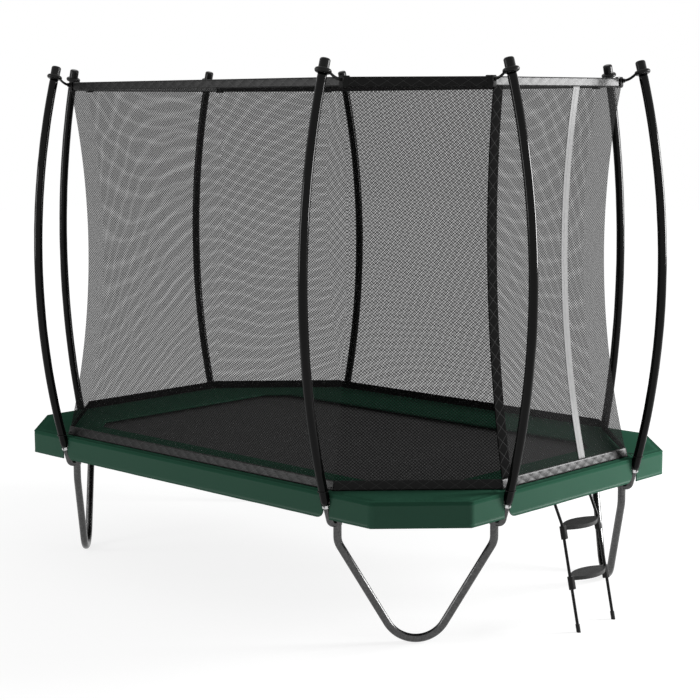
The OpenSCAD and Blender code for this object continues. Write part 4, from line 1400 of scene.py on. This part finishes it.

# %% [markdown]
# ## Coil springs
#
# Eighty-eight springs pull the mat taut. A small circle swept by the Screw
# modifier makes the coil, and part of a ring at each end makes the hook. One
# spring is modelled and copied to its places, and all springs of a side are
# one piece.

# %% One spring
RAIL_FACE, SOCKET_FACE, RING_DEPTH, HOOK_GAP = 0.101, 0.104, 0.034, 0.0003
SPRING_R, WIRE_R, HOOK_R, TURNS = 0.011, 0.0017, 0.0058, 17
spring_l = MAT_IN - RING_DEPTH - RAIL_FACE - 2 * HOOK_GAP
coil_l = spring_l - 4 * HOOK_R
upright_ring = {"rotation": (math.pi / 2, 0, 0)}
spring = primitive(
    bpy.ops.mesh.primitive_circle_add, vertices=6, radius=WIRE_R,
    location=(2 * HOOK_R, 0, SPRING_R - WIRE_R), **upright_ring,
)
add_modifier(spring, "SCREW", axis="X", angle=math.tau, screw_offset=coil_l / TURNS,
             iterations=TURNS, steps=9, render_steps=9, use_merge_vertices=False)
for middle, inwards in ((HOOK_R, 1), (spring_l - HOOK_R, -1)):
    primitive(
        bpy.ops.mesh.primitive_torus_add, major_radius=HOOK_R - WIRE_R, minor_radius=WIRE_R,
        major_segments=14, minor_segments=6, location=(middle, 0, 0), **upright_ring,
    )
    edit()
    slant = Vector((inwards, 0, 1)).normalized()
    bpy.ops.mesh.bisect(
        plane_co=Vector((middle, 0, 0)) + slant * 0.002, plane_no=slant, clear_outer=True
    )
    leave_edit()
    spring.select_set(True)
    bpy.context.view_layer.objects.active = spring
    bpy.ops.object.join()
smoothed(reworked(spring, lambda work: bmesh.ops.holes_fill(
    work, edges=[edge for edge in work.edges if edge.is_boundary], sides=12
)))
print("spring", round(spring_l, 4), "m long,", len(spring.data.polygons), "faces")

# %% Springs round the bed
SPRING_PITCH, SPRING_Z, SOCKET_HALF = 0.100, RAIL_Z + 0.004, 0.055


def spring_places(turn, reach, middle, count, socket_at):
    """Matrices of the springs of one side, X inwards from the skirt's face."""
    for i in range(count):
        along = (i - (count - 1) / 2) * SPRING_PITCH
        at_socket = socket_at and abs(abs(along) - socket_at) < SOCKET_HALF + SPRING_R
        face = SOCKET_FACE if at_socket else RAIL_FACE
        stretch = (MAT_IN - RING_DEPTH - face - 2 * HOOK_GAP) / spring_l
        yield (
            Matrix.Rotation(turn, 4, "Z")
            @ Matrix.Translation((middle + along, reach, SPRING_Z))
            @ Matrix.Rotation(-math.pi / 2, 4, "Z")
            @ Matrix.Translation((face + HOOK_GAP, 0, 0))
            @ Matrix.Diagonal((stretch, 1, 1, 1))
        )


def gathered(name, mesh, matrices, material):
    """One piece from copies of a mesh."""
    work = bmesh.new()
    for matrix in matrices:
        one = mesh.copy()
        one.transform(matrix)
        work.from_mesh(one)
        bpy.data.meshes.remove(one)
    whole = bpy.data.meshes.new(name)
    work.to_mesh(whole)
    work.free()
    whole.materials.append(material)
    piece = bpy.data.objects.new(name, whole)
    bpy.context.scene.collection.objects.link(piece)
    return piece


corner_reach = (HALF_L + HALF_W - CORNER_CUT) / math.sqrt(2)
corner_middle = (HALF_L - HALF_W) / math.sqrt(2)
corner_length = math.dist(bed_long(MAT_IN), bed_short(MAT_IN)) + SPRING_PITCH / 2
long_count, short_count, corner_count = (
    int(length / SPRING_PITCH)
    for length in (2 * bed_long(MAT_IN)[0], 2 * bed_short(MAT_IN)[1], corner_length)
)
spring_plans = {
    "back": (0, HALF_W, 0, long_count, POLE_X),
    "right": (-math.pi / 2, HALF_L, 0, short_count, POLE_Y),
    "corner_back_right": (-math.pi / 4, corner_reach, corner_middle, corner_count, None),
}
spring_total = 0
for where, (turn, reach, *rest) in spring_plans.items():
    places = list(spring_places(turn, reach, *rest))
    base = gathered("coil_springs_" + where, spring.data, places, zinc)
    images = mirror_images(base, "coil_springs_", where)
    for image, sx, sy in MIRRORS[where]:
        way = Vector((-math.sin(turn) * sx, math.cos(turn) * sy, 0))
        level = Vector((0, 0, SPRING_Z))
        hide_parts("springs")
        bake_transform(images[image], "frame", "mat",
                 start=way * (reach - RAIL_FACE - HOOK_R) + level,
                 end=way * (reach - MAT_IN + RING_DEPTH + HOOK_R) + level)
        spring_total += len(places)
bpy.data.objects.remove(spring)
print("springs:", spring_total)

# %% [markdown]
# ## Ties at the net's foot
#
# A loop of elastic cord holds each lower corner of the net to its pole: from
# the foot band round the sleeve, just above the pads. It is a closed curve
# with a round bevel, made a mesh.

# %% Elastic ties
def cord_mesh(name, points, radius, material):
    """A closed smooth cord through some points."""
    curve = bpy.data.curves.new(name, "CURVE")
    curve.dimensions = "3D"
    curve.bevel_depth = radius
    curve.bevel_resolution = 2
    curve.resolution_u = 6
    spline = curve.splines.new("NURBS")
    spline.points.add(len(points) - 1)
    for target, point in zip(spline.points, points):
        target.co = (*point, 1.0)
    spline.use_cyclic_u = True
    spline.order_u = 4
    select_only(in_scene(bpy.data.objects.new(name, curve)))
    bpy.ops.object.convert(target="MESH")
    piece = smoothed(bpy.context.object)
    piece.data.materials.append(material)
    return piece


tie_points = [
    (-0.0500, 0.0, 0.803), (-0.0220, 0.0105, 0.799), (-0.0005, 0.0215, 0.794),
    (0.0200, 0.0297, 0.791), (0.0420, 0.0210, 0.789), (0.0510, 0.0, 0.788),
]
tie_points += [(x, -y, z) for x, y, z in tie_points[4:0:-1]]
tie = cord_mesh("tie", tie_points, 0.0016, cap_black)
for where, matrix in pole_places():
    hand_over(copied(tie, "net_tie_" + where, matrix), None)
bpy.data.objects.remove(tie)
print("ties placed")

# %% [markdown]
# ## Finishes of the CAD pieces
#
# The frame, legs, brackets, caps, rings and ladder keep their CAD meshes.
# Each gets one of the finishes above in its material slots.

# %% Paint the CAD nodes
finish_of = {
    galvanised: ["rail_", "corner_rail_", "frame_sockets", "pole_brackets", "leg_"],
    zinc: ["pole_screws", "mat_rings", "pole_tubes"],
    cap_black: ["pole_caps", "net_top_rod", "ladder_clamps"],
    paint: ["ladder_stile_"],
    tread_grey: ["ladder_tread_"],
    rubber: ["ladder_feet"],
}
painted = 0
for material, starts in finish_of.items():
    for name, node in nodes.items():
        if any(name.startswith(start) for start in starts):
            node.data.materials.clear()
            node.data.materials.append(material)
            painted += 1
shown = [name for name, node in nodes.items() if not node.hide_render]
print(painted, "nodes painted,", len(shown), "shown")

# %% [markdown]
# ## Floor and light
#
# The object stands on a white floor in a studio. To the camera and to mirrors
# the floor glows, more dimly within a few metres of the bed than far off: a
# painted shade round the object, under which its real shadow shows. Three
# soft boxes light it, a strong one behind the ladder's side, a weaker one off
# the long side and a faint one above, and the world fills the rest. To the
# camera, to mirrors and to glass the room is white.

# %% Floor
def direct_rays(wire):
    """1 for rays from the camera, from mirrors and through glass."""
    outs = wire.node("LightPath").socket.node.outputs
    seen, mirrored_ray, through = (
        Wire(wire.tree, outs[f"Is {kind} Ray"]) for kind in ("Camera", "Glossy", "Transmission")
    )
    return (seen + mirrored_ray + through).clamp()


def end_graph(wire, output, lighting, seen):
    """Ends a graph with one shader that lights and one that is seen."""
    mixed = wire.node("MixShader", {0: direct_rays(wire), 1: lighting, 2: seen})
    wire.tree.links.new(mixed.socket, wire.tree.nodes[output].inputs["Surface"])


floor = primitive(bpy.ops.mesh.primitive_plane_add, size=60)
floor.name = "floor"
floor_white, wire = new_finish("floor_white")
wire.tree.nodes.remove(wire.tree.nodes["Principled BSDF"])
# The floor's glow rises from 0.82 near the bed to 0.93 far off: the dimmer glow near the bed is a
# painted shade.
away = wire.node("VectorMath", {0: place(wire)}, out="Value", operation="LENGTH")
far_off = ((away - 2.6) * 0.3).clamp()
glow = wire.node("Emission", {"Color": blend(far_off, 0.82, 0.93), "Strength": 1.0})
pale = wire.node("BsdfDiffuse", {"Color": grey(0.28)})
matt = wire.node("BsdfDiffuse", {"Color": grey(0.5)})
end_graph(wire, "Material Output", matt, wire.node("AddShader", {0: glow, 1: pale}))
floor.data.materials.append(floor_white)
print("floor", floor.dimensions[0], "m wide")

# %% World
FILL = 0.38
world = bpy.data.worlds.new("room")
bpy.context.scene.world = world
world.use_nodes = True
wire = Wire(world.node_tree)
fill, room = (
    wire.node("Background", {"Color": grey(1.0), "Strength": level}) for level in (FILL, 1.0)
)
end_graph(wire, "World Output", fill, room)
print("world ready")

# %% Lamps
def soft_box(name, stand, target, size, power):
    """A square lamp that faces a target."""
    light = bpy.data.lights.new(name, "AREA")
    light.shape, light.size, light.energy = "SQUARE", size, power
    lamp = in_scene(bpy.data.objects.new(name, light))
    aim = (Vector(target) - Vector(stand)).to_track_quat("-Z", "Y")
    lamp.matrix_world = Matrix.Translation(stand) @ aim.to_matrix().to_4x4()


soft_box("box_right", (5.2, 5.0, 2.6), (0, 0, 1.2), 2.2, 720)
soft_box("box_left", (-4.0, -6.6, 2.4), (0, 0, 1.2), 2.0, 140)
soft_box("box_above", (0.5, 0.5, 7.5), (0, 0, 0.8), 4.0, 30)
bpy.context.scene.view_settings.view_transform = "Standard"
print("lamps ready")
